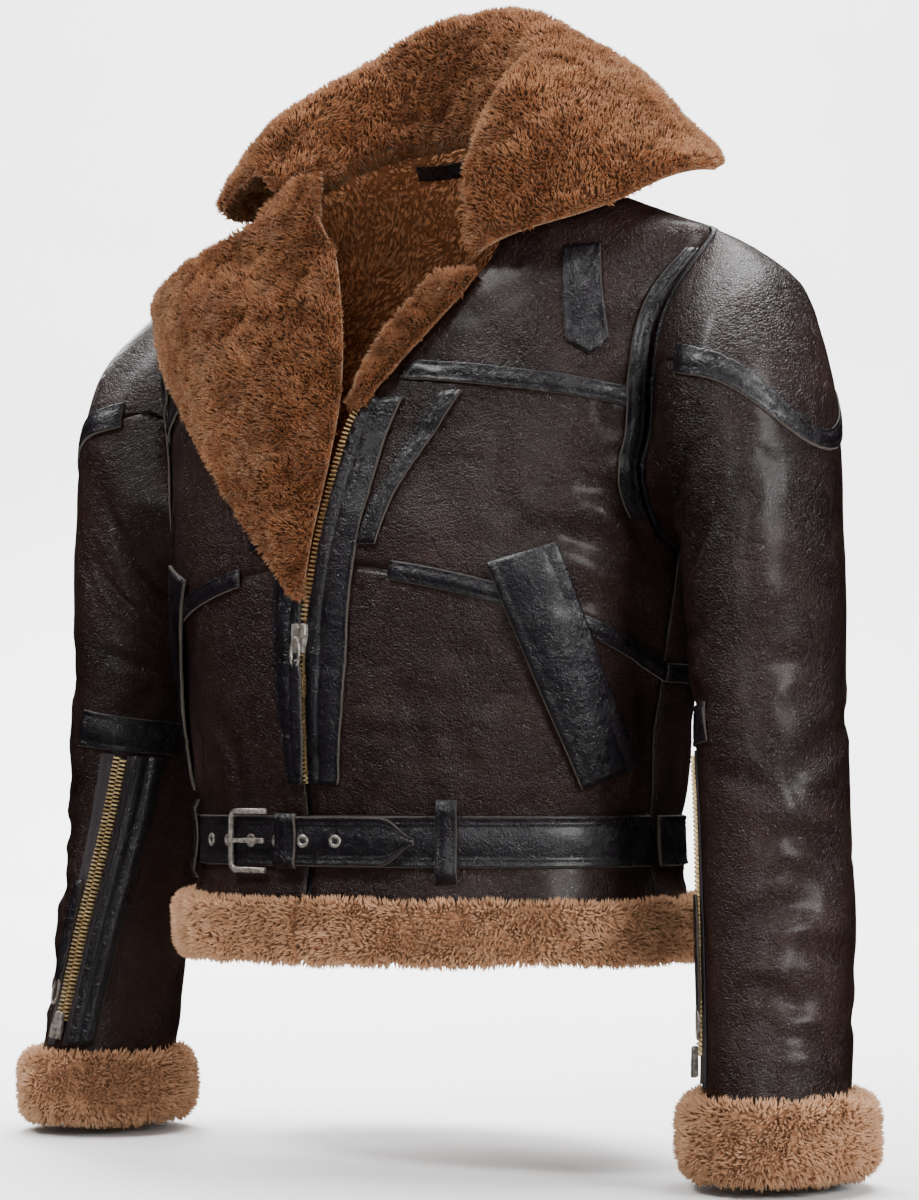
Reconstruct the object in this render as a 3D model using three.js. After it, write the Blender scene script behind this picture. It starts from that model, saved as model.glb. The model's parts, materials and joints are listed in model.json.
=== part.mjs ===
// Sheepskin flying jacket, filled out as if worn, hollow and open at the neck, front, cuffs and hem.
// Millimetres. +Z is up, the front faces -Y and +X is the wearer's left.
// The origin is midway between the shoulder tips, at their height, where the wearer holds it up.
import * as THREE from 'three';

const SKIN = 7;          // sheepskin wall: leather with its trimmed fleece inside
const TAPE = 2.2;        // leather strips sewn over the seams
const LIFT = 0.8;        // how far a strip's underside stands off the panel it is sewn to
const SEAM = 0.15;       // half of the gap between two panels at a seam
const SEAM_ANGLE = 0.003; // the same at the shoulder and side seams, as an angle
const FUR = 15;          // depth of the long fur on collar, lapel, cuffs and hem
const SHELL_END = -451;  // the leather ends here and the hem fur goes on
const SIDE = Math.PI / 2;
const TURN = Math.PI * 2;
const NECK_SIDE = 60;
const NECK_BACK = 92;
const UNDERARM = -215;

// The torso's rings: height, half width, depth to the front and back, middle, squareness.
const TORSO = [
  { z: -470, half: 187, front: 148, back: 152, mid: 0, square: 2.1 },
  { z: -451, half: 186, front: 147, back: 151, mid: 0, square: 2.1 },
  { z: -409, half: 180, front: 141, back: 144, mid: 0, square: 2.1 },
  { z: -370, half: 183, front: 146, back: 149, mid: 0, square: 2.15 },
  { z: -300, half: 190, front: 150, back: 152, mid: 0, square: 2.2 },
  { z: -215, half: 204, front: 146, back: 150, mid: 0, square: 2.25 },
  { z: -150, half: 216, front: 134, back: 146, mid: 0, square: 2.2 },
  { z: -90, half: 227, front: 117, back: 138, mid: -4, square: 2.15 },
  { z: -45, half: 236, front: 98, back: 122, mid: -8, square: 2.1 },
  { z: -12, half: 241, front: 80, back: 104, mid: -12, square: 2.0 },
  { z: 0, half: 238, front: 74, back: 98, mid: -14, square: 2.0 },
  { z: 15, half: 204, front: 70, back: 90, mid: -19, square: 2.0 },
  { z: 30, half: 168, front: 67, back: 82, mid: -24, square: 2.0 },
  { z: 45, half: 128, front: 63, back: 76, mid: -28, square: 2.0 },
  { z: 58, half: 96, front: 60, back: 72, mid: -32, square: 2.0 },
  { z: 70, half: 82, front: 60, back: 66, mid: -35, square: 2.0 },
  { z: 95, half: 76, front: 58, back: 58, mid: -38, square: 2.0 },
];

// The armhole's front and back edge, by height.
const ARMHOLE = [
  { z: -215, front: 0, back: 0 },
  { z: -205, front: -26, back: 28 },
  { z: -171, front: -47, back: 52 },
  { z: -137, front: -46, back: 56 },
  { z: -105, front: -48, back: 56 },
  { z: -72, front: -47, back: 50 },
  { z: -45, front: -41, back: 36 },
  { z: -20, front: -28, back: 12 },
  { z: 0, front: -14, back: -14 },
];

// Where each front's edge runs, as its distance past the middle: straight down the zip,
// then away to the neck. The right front folds back into a lapel nearer the middle.
const LEFT_EDGE = [
  { z: -470, x: 3 }, { z: -262, x: 3 }, { z: -235, x: 7 }, { z: -200, x: 12 }, { z: -150, x: 20 },
  { z: -121, x: 29 }, { z: -84, x: 58 }, { z: -62, x: 77 }, { z: -40, x: 95 },
  { z: -17, x: 108 }, { z: 0, x: 112 }, { z: 20, x: 108 }, { z: 40, x: 100 }, { z: 60, x: 88 },
];
const RIGHT_EDGE = [
  { z: -470, x: 3 }, { z: -262, x: 3 }, { z: -235, x: 4 }, { z: -200, x: 6 }, { z: -129, x: 13 },
  { z: -84, x: 26 }, { z: -52, x: 38 }, { z: -5, x: 60 }, { z: 30, x: 78 }, { z: 60, x: 86 },
];

// The sleeves' rings, from armhole to wrist: inner and outer edge, middle and half depth.
const SLEEVE = [
  { inX: 216, inZ: -211, outX: 262, outZ: -8, midY: 2, depth: 78 },
  { inX: 220, inZ: -217, outX: 286, outZ: -32, midY: 1, depth: 78 },
  { inX: 223, inZ: -226, outX: 302, outZ: -66, midY: -2, depth: 75 },
  { inX: 225, inZ: -238, outX: 312, outZ: -108, midY: -4, depth: 72 },
  { inX: 226, inZ: -252, outX: 318, outZ: -155, midY: -6, depth: 70 },
  { inX: 227, inZ: -269, outX: 321, outZ: -205, midY: -8, depth: 67 },
  { inX: 229, inZ: -291, outX: 323, outZ: -255, midY: -9, depth: 65 },
  { inX: 232, inZ: -320, outX: 325, outZ: -300, midY: -10, depth: 63 },
  { inX: 236, inZ: -360, outX: 329, outZ: -350, midY: -12, depth: 60 },
  { inX: 239, inZ: -400, outX: 332, outZ: -395, midY: -15, depth: 58 },
  { inX: 243, inZ: -440, outX: 335, outZ: -438, midY: -20, depth: 57 },
  { inX: 247, inZ: -480, outX: 339, outZ: -480, midY: -26, depth: 56 },
  { inX: 251, inZ: -524, outX: 342, outZ: -524, midY: -32, depth: 55 },
  { inX: 255, inZ: -573, outX: 345, outZ: -573, midY: -40, depth: 54 },
];

// Folds across the sleeves: middle angle and place along, half length, half width and depth.
const FOLDS = [
  { angle: 2.2, along: 0.17, reach: 0.7, width: 0.055, depth: 4 },
  { angle: 1.9, along: 0.3, reach: 0.6, width: 0.055, depth: 3.5 },
  { angle: 1.1, along: 0.5, reach: 0.8, width: 0.055, depth: 3 },
  { angle: 2.6, along: 0.56, reach: 0.9, width: 0.055, depth: 4 },
  { angle: 5.0, along: 0.6, reach: 0.8, width: 0.055, depth: 3.5 },
  { angle: 0.6, along: 0.76, reach: 0.9, width: 0.055, depth: 3.5 },
  { angle: 3.6, along: 0.8, reach: 0.7, width: 0.055, depth: 3 },
  { angle: 0.9, along: 0.9, reach: 0.9, width: 0.05, depth: 3.5 },
];

const LEATHER = { color: 0x2a1d1b, roughness: 0.4 };
const STRIP = { color: 0x1f1718, roughness: 0.35 };
const FLEECE = { color: 0xa9713c, roughness: 1 };
const BRASS = { color: 0xb99a55, roughness: 0.35, metalness: 1 };
const NICKEL = { color: 0x8c8678, roughness: 0.35, metalness: 1 };

const jacket = new THREE.Group();

// A smooth curve through a table's rows.
function smooth(rows, by, key, at) {
  const last = rows.length - 1;
  const x = Math.min(Math.max(at, rows[0][by]), rows[last][by]);
  let i = 0;
  while (i < last - 1 && x > rows[i + 1][by]) i += 1;
  const slope = (k) => {
    const a = rows[Math.max(k - 1, 0)];
    const b = rows[Math.min(k + 1, last)];
    return (b[key] - a[key]) / (b[by] - a[by]);
  };
  const h = rows[i + 1][by] - rows[i][by];
  const t = (x - rows[i][by]) / h;
  const rise = rows[i + 1][key] - rows[i][key];
  return rows[i][key] + rise * t * t * (3 - 2 * t)
    + h * t * (1 - t) * ((1 - t) * slope(i) - t * slope(i + 1));
}

const mix = (a, b, t) => a + (b - a) * t;
const ease = (t) => {
  const c = Math.min(Math.max(t, 0), 1);
  return c * c * (3 - 2 * c);
};

// A point of any surface, moved out along its normal.
function movedOut(surface, a, b, out) {
  const p = surface(a, b);
  if (!out) return p;
  const stepA = 0.002;
  const stepB = 0.002 * Math.max(1, Math.abs(b));
  const alongA = surface(a + stepA, b).sub(surface(a - stepA, b));
  const alongB = surface(a, b + stepB).sub(surface(a, b - stepB));
  return p.addScaledVector(alongA.cross(alongB).normalize(), out);
}

function torsoRing(u, z) {
  const power = 2 / smooth(TORSO, 'z', 'square', z);
  const across = Math.sin(u);
  const ahead = Math.cos(u);
  const depth = smooth(TORSO, 'z', ahead > 0 ? 'front' : 'back', z);
  return new THREE.Vector3(
    smooth(TORSO, 'z', 'half', z) * Math.sign(across) * Math.abs(across) ** power,
    smooth(TORSO, 'z', 'mid', z) - depth * Math.sign(ahead) * Math.abs(ahead) ** power,
    z,
  );
}
const torso = (u, z, out = 0) => movedOut(torsoRing, u, z, out);

// The torso angle at a distance past the middle of the front, and at a depth.
function angleAtX(x, z) {
  const share = Math.abs(x) / smooth(TORSO, 'z', 'half', z);
  return Math.sign(x) * Math.asin(Math.min(share, 1) ** (smooth(TORSO, 'z', 'square', z) / 2));
}
function angleAtDepth(y, z) {
  const ahead = smooth(TORSO, 'z', 'mid', z) - y;
  const share = Math.abs(ahead) / smooth(TORSO, 'z', ahead > 0 ? 'front' : 'back', z);
  return Math.acos(Math.sign(ahead) * Math.min(share, 1) ** (smooth(TORSO, 'z', 'square', z) / 2));
}

const inArmhole = (z) => z > UNDERARM && z < 0;
const frontEnd = (z) => (inArmhole(z)
  ? Math.min(angleAtDepth(smooth(ARMHOLE, 'z', 'front', z), z), SIDE - SEAM_ANGLE) : SIDE - SEAM_ANGLE);
const backEnd = (z) => (inArmhole(z)
  ? Math.max(angleAtDepth(smooth(ARMHOLE, 'z', 'back', z), z), SIDE + SEAM_ANGLE) : SIDE + SEAM_ANGLE);
const edgeAngle = (side, z) => angleAtX(smooth(side > 0 ? LEFT_EDGE : RIGHT_EDGE, 'z', 'x', z), z);

// A closed wall over a grid: outer and inner points at each s and t, both from 0 to 1.
function wall(name, look, cols, rows, outer, inner, wraps = false) {
  const across = wraps ? cols : cols + 1;
  const points = [];
  for (const face of [outer, inner]) {
    for (let j = 0; j <= rows; j += 1) {
      for (let i = 0; i < across; i += 1) points.push(face(i / cols, j / rows));
    }
  }
  const at = (face, i, j) => face * across * (rows + 1) + j * across + (i % across);
  const index = [];
  const quad = (a, b, c, d) => index.push(a, b, c, a, c, d);
  for (let j = 0; j < rows; j += 1) {
    for (let i = 0; i < cols; i += 1) {
      quad(at(0, i, j), at(0, i + 1, j), at(0, i + 1, j + 1), at(0, i, j + 1));
      quad(at(1, i, j + 1), at(1, i + 1, j + 1), at(1, i + 1, j), at(1, i, j));
    }
  }
  for (let i = 0; i < cols; i += 1) {
    quad(at(1, i, 0), at(1, i + 1, 0), at(0, i + 1, 0), at(0, i, 0));
    quad(at(0, i, rows), at(0, i + 1, rows), at(1, i + 1, rows), at(1, i, rows));
  }
  for (let j = 0; j < rows && !wraps; j += 1) {
    quad(at(0, 0, j), at(0, 0, j + 1), at(1, 0, j + 1), at(1, 0, j));
    quad(at(1, cols, j), at(1, cols, j + 1), at(0, cols, j + 1), at(0, cols, j));
  }
  addMesh(name, look, points, index);
}

// A ring or strip with the same closed outline at every step along it.
function loft(name, look, around, steps, point, closed) {
  const rings = closed ? steps : steps + 1;
  const points = [];
  const index = [];
  for (let j = 0; j < rings; j += 1) {
    for (let i = 0; i < around; i += 1) points.push(point(i / around, j / steps));
  }
  const at = (i, j) => (j % rings) * around + (i % around);
  for (let j = 0; j < steps; j += 1) {
    for (let i = 0; i < around; i += 1) {
      index.push(at(i, j), at(i + 1, j), at(i + 1, j + 1), at(i, j), at(i + 1, j + 1), at(i, j + 1));
    }
  }
  for (let i = 1; i < around - 1 && !closed; i += 1) {
    index.push(at(0, 0), at(i + 1, 0), at(i, 0), at(0, steps), at(i, steps), at(i + 1, steps));
  }
  addMesh(name, look, points, index);
}

// Adds a named mesh, with its faces turned to point out.
function addMesh(name, look, points, index) {
  let volume = 0;
  for (let k = 0; k < index.length; k += 3) {
    volume += points[index[k]].dot(points[index[k + 1]].clone().cross(points[index[k + 2]]));
  }
  if (volume < 0) index.reverse();
  const geometry = new THREE.BufferGeometry().setFromPoints(points);
  geometry.setIndex(index);
  geometry.computeVertexNormals();
  const mesh = new THREE.Mesh(geometry, new THREE.MeshStandardMaterial(look));
  mesh.name = name;
  jacket.add(mesh);
}

// A piece on the torso between two angles and two heights, each a function or a number.
function onTorso(name, look, cols, rows, shape) {
  const value = (f, at) => (typeof f === 'function' ? f(at) : f);
  const place = (s, t) => {
    const z = mix(value(shape.low, s), value(shape.high, s), t);
    return [mix(value(shape.from, z), value(shape.to, z), s), z];
  };
  const lift = shape.lift ?? (() => 0);
  const thick = shape.thick ?? SKIN;
  wall(
    name, look, cols, rows,
    (s, t) => torso(...place(s, t), lift(s, t) + (shape.lift ? thick : 0)),
    (s, t) => torso(...place(s, t), lift(s, t) - (shape.lift ? 0 : thick)),
  );
}
const sewnOn = () => LIFT;

// Seam heights across a front, from its edge to its side.
const yokeSeam = (s) => mix(-92, -118, s);
const middleSeam = (s) => mix(-222, -296, 0.55 * s + 0.45 * s * s);
const BACK_YOKE = -112;
const BACK_MIDDLE = -296;
const TAPE_HALF = 6;
const BELT_HEIGHT = -410;

function makeFronts() {
  for (const [word, side] of [['left', 1], ['right', -1]]) {
    const from = (z) => side * edgeAngle(side, z);
    const to = (z) => side * frontEnd(z);
    onTorso(`front_yoke_${word}`, LEATHER, 7, 8, {
      from, to, low: (s) => yokeSeam(s) + SEAM, high: NECK_SIDE,
    });
    onTorso(`front_chest_${word}`, LEATHER, 7, 5, {
      from, to, low: (s) => middleSeam(s) + SEAM, high: (s) => yokeSeam(s) - SEAM,
    });
    onTorso(`front_skirt_${word}`, LEATHER, 7, 5, {
      from, to, low: SHELL_END, high: (s) => middleSeam(s) - SEAM,
    });
    const past = (z) => mix(from(z), to(z), 0.17);
    onTorso(`yoke_tape_${word}`, STRIP, 14, 1, {
      from: (z) => mix(from(z), to(z), side > 0 ? 0.05 : 0.62),
      to: (z) => to(z) - side * 0.015,
      low: (s) => yokeSeam(s) - TAPE_HALF, high: (s) => yokeSeam(s) + TAPE_HALF,
      lift: sewnOn, thick: TAPE,
    });
    onTorso(`middle_tape_${word}`, STRIP, 16, 1, {
      from: past, to,
      low: (s) => middleSeam(mix(0.17, 1, s)) - TAPE_HALF,
      high: (s) => middleSeam(mix(0.17, 1, s)) + TAPE_HALF,
      lift: sewnOn, thick: TAPE,
    });
    const facing = (z) => side * angleAtX(smooth(FACING, 'z', side > 0 ? 'left' : 'right', z), z);
    onTorso(`zip_facing_${word}`, STRIP, 2, 14, {
      from, to: facing, low: -372, high: side > 0 ? -112 : -222, lift: sewnOn, thick: TAPE,
    });
    const slant = (z, x) => side * angleAtX(smooth(SLANT, 'z', 'x', z) + x, z);
    onTorso(`slant_strip_${word}`, STRIP, 1, 8, {
      from: (z) => slant(z, -7), to: (z) => slant(z, 7), low: -212, high: -110,
      lift: sewnOn, thick: TAPE,
    });
    onTorso(`armhole_tape_${word}`, STRIP, 1, 12, {
      from: (z) => to(z) - side * 0.12, to: (z) => to(z) - side * 0.035, low: -196, high: -16,
      lift: () => TAPE + 2 * LIFT, thick: TAPE,
    });
    makePocket(word, side);
  }
}

// The outer edges of the zip facings, and the middle of the slanted chest strips.
const FACING = [
  { z: -372, left: 25, right: 15 }, { z: -302, left: 33, right: 24 },
  { z: -235, left: 37, right: 29 }, { z: -141, left: 52, right: 34 }, { z: -112, left: 62, right: 36 },
];
const SLANT = [{ z: -222, x: 44 }, { z: -175, x: 60 }, { z: -106, x: 100 }];

// Pocket welt corners: angle and height at the top and bottom, inner and outer.
const WELT = {
  innerTop: [0.65, -227], outerTop: [0.915, -213], innerLow: [1.13, -375], outerLow: [1.415, -359],
};
function makePocket(word, side) {
  const place = (s, t) => [0, 1].map((k) => mix(
    mix(WELT.innerLow[k], WELT.outerLow[k], s),
    mix(WELT.innerTop[k], WELT.outerTop[k], s),
    t,
  ));
  const underside = TAPE + 2 * LIFT;
  const at = (s, t, out) => {
    const [angle, z] = place(s, t);
    return torso(side * angle, z, out);
  };
  const swell = (s, t) => 3 * Math.sin(Math.PI * s) * Math.sin(Math.PI * t) ** 0.5;
  wall(`pocket_welt_${word}`, STRIP, 4, 10,
    (s, t) => at(s, t, underside + 3 + swell(s, t)), (s, t) => at(s, t, underside));
}

function makeBack() {
  const across = { from: backEnd, to: (z) => TURN - backEnd(z) };
  const neck = (s) => mix(NECK_SIDE, NECK_BACK, Math.sin(Math.PI * s) ** 0.8);
  onTorso('back_yoke', LEATHER, 14, 8, { ...across, low: BACK_YOKE + SEAM, high: neck });
  onTorso('back_middle', LEATHER, 14, 4, {
    ...across, low: BACK_MIDDLE + SEAM, high: BACK_YOKE - SEAM,
  });
  onTorso('back_skirt', LEATHER, 14, 4, { ...across, low: SHELL_END, high: BACK_MIDDLE - SEAM });
  for (const [name, seam] of [['back_yoke_tape', BACK_YOKE], ['back_middle_tape', BACK_MIDDLE]]) {
    onTorso(name, STRIP, 24, 1, {
      ...across, low: seam - TAPE_HALF, high: seam + TAPE_HALF, lift: sewnOn, thick: TAPE,
    });
  }
}

const ARMHOLE_GAP = 0.9;

// The armhole's loop: angle 0 at the shoulder tip, then down the front and up the back.
function armhole(angle) {
  const z = UNDERARM * (0.5 - 0.5 * Math.cos(angle));
  const ahead = Math.sin(angle) > 0;
  const end = ahead ? frontEnd(z) : backEnd(z);
  return torsoRing(end, z);
}

// A point of a sleeve: around from 0 at its outer edge to the front, along from 0 to 1.
function sleevePoint(around, along) {
  const last = SLEEVE.length - 1;
  const rows = SLEEVE.map((row, k) => ({ ...row, k }));
  const at = along * last;
  const get = (key) => smooth(rows, 'k', key, at);
  const share = 0.5 - 0.5 * Math.cos(around);
  const ring = new THREE.Vector3(
    mix(get('outX'), get('inX'), share),
    get('midY') - get('depth') * Math.sin(around),
    mix(get('outZ'), get('inZ'), share),
  );
  const start = armhole(around);
  start.x += ARMHOLE_GAP;
  return start.lerp(ring, ease(at * 0.9));
}
function foldDepth(around, along) {
  return FOLDS.reduce((sum, fold) => {
    const turn = Math.abs(((around - fold.angle + 3 * Math.PI) % TURN) - Math.PI) / fold.reach;
    const away = Math.abs(along - fold.along - 0.02 * Math.sin(2 * (around - fold.angle))) / fold.width;
    return sum + fold.depth * ease(1 - turn) * ease(1 - away);
  }, 0);
}
// The middle of a sleeve's ring, level with the point at the same place.
function sleeveMiddle(along) {
  const opposite = Math.PI;
  return sleevePoint(0, along).add(sleevePoint(opposite, along)).multiplyScalar(0.5);
}

// The right sleeve hangs closer to the body than the left by this much at the wrist.
const RIGHT_SLEEVE_IN = 22;

// A point of either sleeve, moved out from the middle of its ring. What is sewn on bridges the folds.
function sleeve(side, around, along, out) {
  const p = sleevePoint(around, along);
  const away = p.clone().sub(sleeveMiddle(along)).normalize();
  const sink = out > 0 ? 0 : foldDepth(around, along) * ease(along * 8);
  p.addScaledVector(away, out - sink);
  if (side < 0) p.x = RIGHT_SLEEVE_IN * along ** 1.5 - p.x;
  return p;
}

// Where the seam of the cap lies along the sleeve: it falls from the armhole to the outer edge.
const capSeam = (around) => {
  const turn = Math.abs(((around + 3 * Math.PI) % TURN) - Math.PI);
  return 0.012 + 0.286 * Math.cos(Math.min(turn * 1.1, Math.PI / 2)) ** 0.74;
};
const CAP_GAP = 0.0018;

// The tape over the cap's seam, 12 mm wide square to the seam: its angle and place along.
const CAP_TAPE = { reach: 1.36, radius: 68, length: 600 };
function capTape(s, t) {
  const { reach, radius, length } = CAP_TAPE;
  const angle = mix(-reach, reach, s);
  const slope = ((capSeam(angle + 0.01) - capSeam(angle - 0.01)) / 0.02) * (length / radius);
  const offset = (TAPE_HALF * (2 * t - 1)) / Math.hypot(1, slope);
  return [angle - (offset * slope) / radius, capSeam(angle) + offset / length];
}

// Where each sleeve's zip runs: angle at its top and bottom, and its ends along the sleeve.
const SLEEVE_ZIP = {
  left: { top: 2.62, bottom: 2.5 }, right: { top: 2.15, bottom: 1.55 },
  start: 0.6, end: 0.985, slider: 0.945,
};

function makeSleeves() {
  for (const [word, side] of [['left', 1], ['right', -1]]) {
    const around = (s) => s * TURN;
    const part = (name, look, cols, rows, low, high, inner, outer) => wall(
      name, look, cols, rows,
      (s, t) => sleeve(side, around(s), mix(low(around(s)), high(around(s)), t), outer),
      (s, t) => sleeve(side, around(s), mix(low(around(s)), high(around(s)), t), inner),
      true,
    );
    part(`sleeve_cap_${word}`, LEATHER, 24, 4, () => 0, (a) => capSeam(a) - CAP_GAP, -SKIN, 0);
    part(`sleeve_${word}`, LEATHER, 24, 20, (a) => capSeam(a) + CAP_GAP, () => 1, -SKIN, 0);
    const tapeLift = (s) => LIFT * (1 + 1.5 * Math.abs(2 * s - 1) ** 3);
    wall(`cap_tape_${word}`, STRIP, 36, 2,
      ...[TAPE, 0].map((out) => (s, t) => sleeve(side, ...capTape(s, t), tapeLift(s) + out)));
    makeCuff(word, side);
    makeSleeveZip(word, side);
  }
}

// Outlines of the fur round the cuffs and the hem: how far out, and how high.
const CUFF_OUTLINE = [
  { out: -6, up: -2 }, { out: -10, up: -20 }, { out: -6, up: -42 }, { out: 4, up: -49 },
  { out: 14, up: -42 }, { out: 18, up: -22 }, { out: 14, up: 0 }, { out: 3, up: 7 }, { out: 1, up: -1 },
];
const HEM_OUTLINE = [
  { out: -6, up: -1 }, { out: -9, up: -20 }, { out: -4, up: -38 }, { out: 4, up: -42 },
  { out: 11, up: -36 }, { out: 14, up: -18 }, { out: 11, up: 1 }, { out: 1.6, up: 3 }, { out: 0.8, up: -1 },
];

function makeCuff(word, side) {
  const count = CUFF_OUTLINE.length;
  loft(`cuff_fur_${word}`, FLEECE, count, 16, (i, j) => {
    const { out, up } = CUFF_OUTLINE[Math.round(i * count)];
    const p = sleeve(side, j * TURN, 1, out);
    p.z += up;
    return p;
  }, true);
}

function makeHem() {
  const count = HEM_OUTLINE.length;
  const slit = 0.012;
  loft('hem_fur', FLEECE, count, 32, (i, j) => {
    const { out, up } = HEM_OUTLINE[Math.round(i * count)];
    const p = torso(mix(slit, TURN - slit, j), SHELL_END, out);
    p.z = SHELL_END + up;
    return p;
  }, false);
}

function makeSleeveZip(word, side) {
  const { start, end, slider } = SLEEVE_ZIP;
  const { top, bottom } = SLEEVE_ZIP[word];
  const line = (along) => mix(top, bottom, (along - start) / (end - start));
  const strip = (name, look, [cols, rows], from, to, low, high, out, thick) => wall(
    name, look, cols, rows,
    ...[out + thick, out].map((lift) => (s, t) => {
      const along = mix(low, high, t);
      return sleeve(side, line(along) + mix(from, to, s), along, lift);
    }),
  );
  strip(`sleeve_zip_${word}`, BRASS, [2, 10], -0.16, 0.16, start, end, LIFT, TAPE);
  strip(`sleeve_band_${word}`, STRIP, [3, 10], 0.19, 0.6, start, end, LIFT, TAPE);
  strip(`sleeve_tab_${word}`, STRIP, [8, 2], -0.75, 0.75, start - 0.05, start - 0.006, LIFT, TAPE);
  strip(`sleeve_slider_${word}`, NICKEL, [1, 1], -0.09, 0.09, slider, slider + 0.035, LIFT + TAPE + LIFT, 4);
  const underside = 2 * LIFT + TAPE;
  strip(`sleeve_pull_${word}`, STRIP, [1, 3], -0.3, -0.12, slider - 0.17, slider - 0.004, underside, 2.5);
}

// The collar's sections, from the left front end round the back to the right front end.
// Each runs from the neck seam, up the stand, over the roll and down the fall to its edge.
const COLLAR_LEFT = [
  { seam: [96, -84, -14], rise: [112, -92, -10], roll: [140, -90, -2], fall: [184, -72, 10], edge: [222, -28, 34] },
  { seam: [97, -79, 12], rise: [110, -82, 34], roll: [134, -72, 48], fall: [180, -44, 48], edge: [226, -4, 42] },
  { seam: [91, -72, 42], rise: [100, -66, 68], roll: [114, -48, 90], fall: [168, -12, 78], edge: [216, 30, 50] },
  { seam: [82, -40, 63.5], rise: [93, -32, 96], roll: [103, -14, 120], fall: [152, 26, 104], edge: [192, 62, 64] },
  { seam: [77, -15, 73.3], rise: [82, 4, 114], roll: [89, 20, 144], fall: [122, 58, 126], edge: [148, 90, 80] },
  { seam: [57, 5.5, 84.6], rise: [58, 24, 128], roll: [62, 44, 167], fall: [82, 82, 144], edge: [94, 110, 96] },
  { seam: [28, 17, 90.8], rise: [29, 32, 136], roll: [31, 54, 181], fall: [42, 92, 154], edge: [46, 122, 108] },
  { seam: [0, 20.8, 92.5], rise: [0, 34, 138], roll: [0, 58, 185], fall: [0, 96, 156], edge: [0, 126, 112] },
];
const COLLAR_RIGHT = [
  { seam: [-88, -54, 64], rise: [-98, -54, 78], roll: [-108, -42, 100], fall: [-152, -8, 92], edge: [-196, 26, 58] },
  { seam: [-86, -68, 50], rise: [-98, -72, 58], roll: [-112, -64, 72], fall: [-158, -40, 66], edge: [-203, -18, 42] },
];
const STATIONS = ['seam', 'rise', 'roll', 'fall', 'edge'];

function collarCurves() {
  const mirrored = COLLAR_LEFT.slice(3, 7).reverse().map((row) => Object.fromEntries(
    STATIONS.map((station) => [station, [-row[station][0], row[station][1], row[station][2]]]),
  ));
  const rows = [...COLLAR_LEFT, ...mirrored, ...COLLAR_RIGHT];
  return STATIONS.map((station) => new THREE.CatmullRomCurve3(
    rows.map((row) => new THREE.Vector3(...row[station])), false, 'catmullrom', 0.5,
  ));
}

const CORNER = { reach: 0.09, trim: 0.14 };
function makeCollar() {
  const curves = collarCurves();
  // The free edge comes in at both ends, which rounds the collar's corners.
  const trimmed = (s) => {
    const near = (end) => Math.min(Math.max(1 - end / CORNER.reach, 0), 1);
    return 1 - CORNER.trim * (1 - Math.sqrt(1 - Math.max(near(s), near(1 - s)) ** 2));
  };
  const leather = (s, t) => {
    const section = curves.map((curve) => curve.getPoint(Math.min(Math.max(s, 0), 1)));
    const share = Math.min(Math.max(t, 0), 1) * trimmed(s);
    return new THREE.CatmullRomCurve3(section).getPoint(share);
  };
  const inside = (s, t) => {
    const rim = Math.min(s, 1 - s) * 12;
    const depth = FUR * (0.35 + 0.65 * ease(Math.min(rim, (1 - t) * 5)));
    const near = 0.01;
    const a = Math.min(Math.max(s, near), 1 - near);
    const b = Math.min(Math.max(t, near), 1 - near);
    const across = leather(a + near, b).sub(leather(a - near, b));
    const up = leather(a, b + near).sub(leather(a, b - near));
    return leather(s, t).addScaledVector(up.cross(across).normalize(), depth);
  };
  wall('collar', FLEECE, 26, 8, inside, leather);
}

// The right lapel: its folded edge and free edge, from the tip at the zip to its top.
const LAPEL = [
  { up: 0, foldX: 0, foldZ: -247, freeX: -5, freeZ: -244 },
  { up: 0.12, foldX: 4, foldZ: -215, freeX: -30, freeZ: -218 },
  { up: 0.35, foldX: 12, foldZ: -150, freeX: -90, freeZ: -158 },
  { up: 0.55, foldX: 13, foldZ: -100, freeX: -143, freeZ: -105 },
  { up: 0.75, foldX: -2, foldZ: -50, freeX: -192, freeZ: -56 },
  { up: 1, foldX: -40, foldZ: 18, freeX: -222, freeZ: -10 },
];
function makeLapel() {
  const place = (s, t, out) => {
    const get = (key) => smooth(LAPEL, 'up', key, t);
    const raised = t ** 4 * (14 * Math.sin(Math.PI * s) + 22 * (1 - s) ** 3);
    const z = mix(get('foldZ'), get('freeZ'), s) + raised;
    return torso(angleAtX(mix(get('foldX'), get('freeX'), s), z), z, out);
  };
  const underside = TAPE + 2 * LIFT;
  const depth = (s, t) => FUR * (0.3 + 0.7 * ease(Math.min(s, 1 - s, t * 1.5, (1 - t) * 1.5) * 6));
  wall('lapel_right', FLEECE, 8, 10,
    (s, t) => place(s, t, underside + depth(s, t)), (s, t) => place(s, t, underside));
}

// The fleece that shows along the left front's edge, from the zip to the neck.
function makeLeftFurEdge() {
  const low = -116;
  const high = -28;
  loft('fur_edge_left', FLEECE, 8, 8, (i, j) => {
    const z = mix(low, high, j);
    const halfWidth = mix(5, 15, ease(j * 1.6));
    const middle = smooth(LEFT_EDGE, 'z', 'x', z) - halfWidth - 1.5;
    const turn = i * TURN;
    return torso(angleAtX(middle + halfWidth * Math.cos(turn), z), z, 6 * Math.sin(turn) - 1);
  }, false);
}

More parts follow.
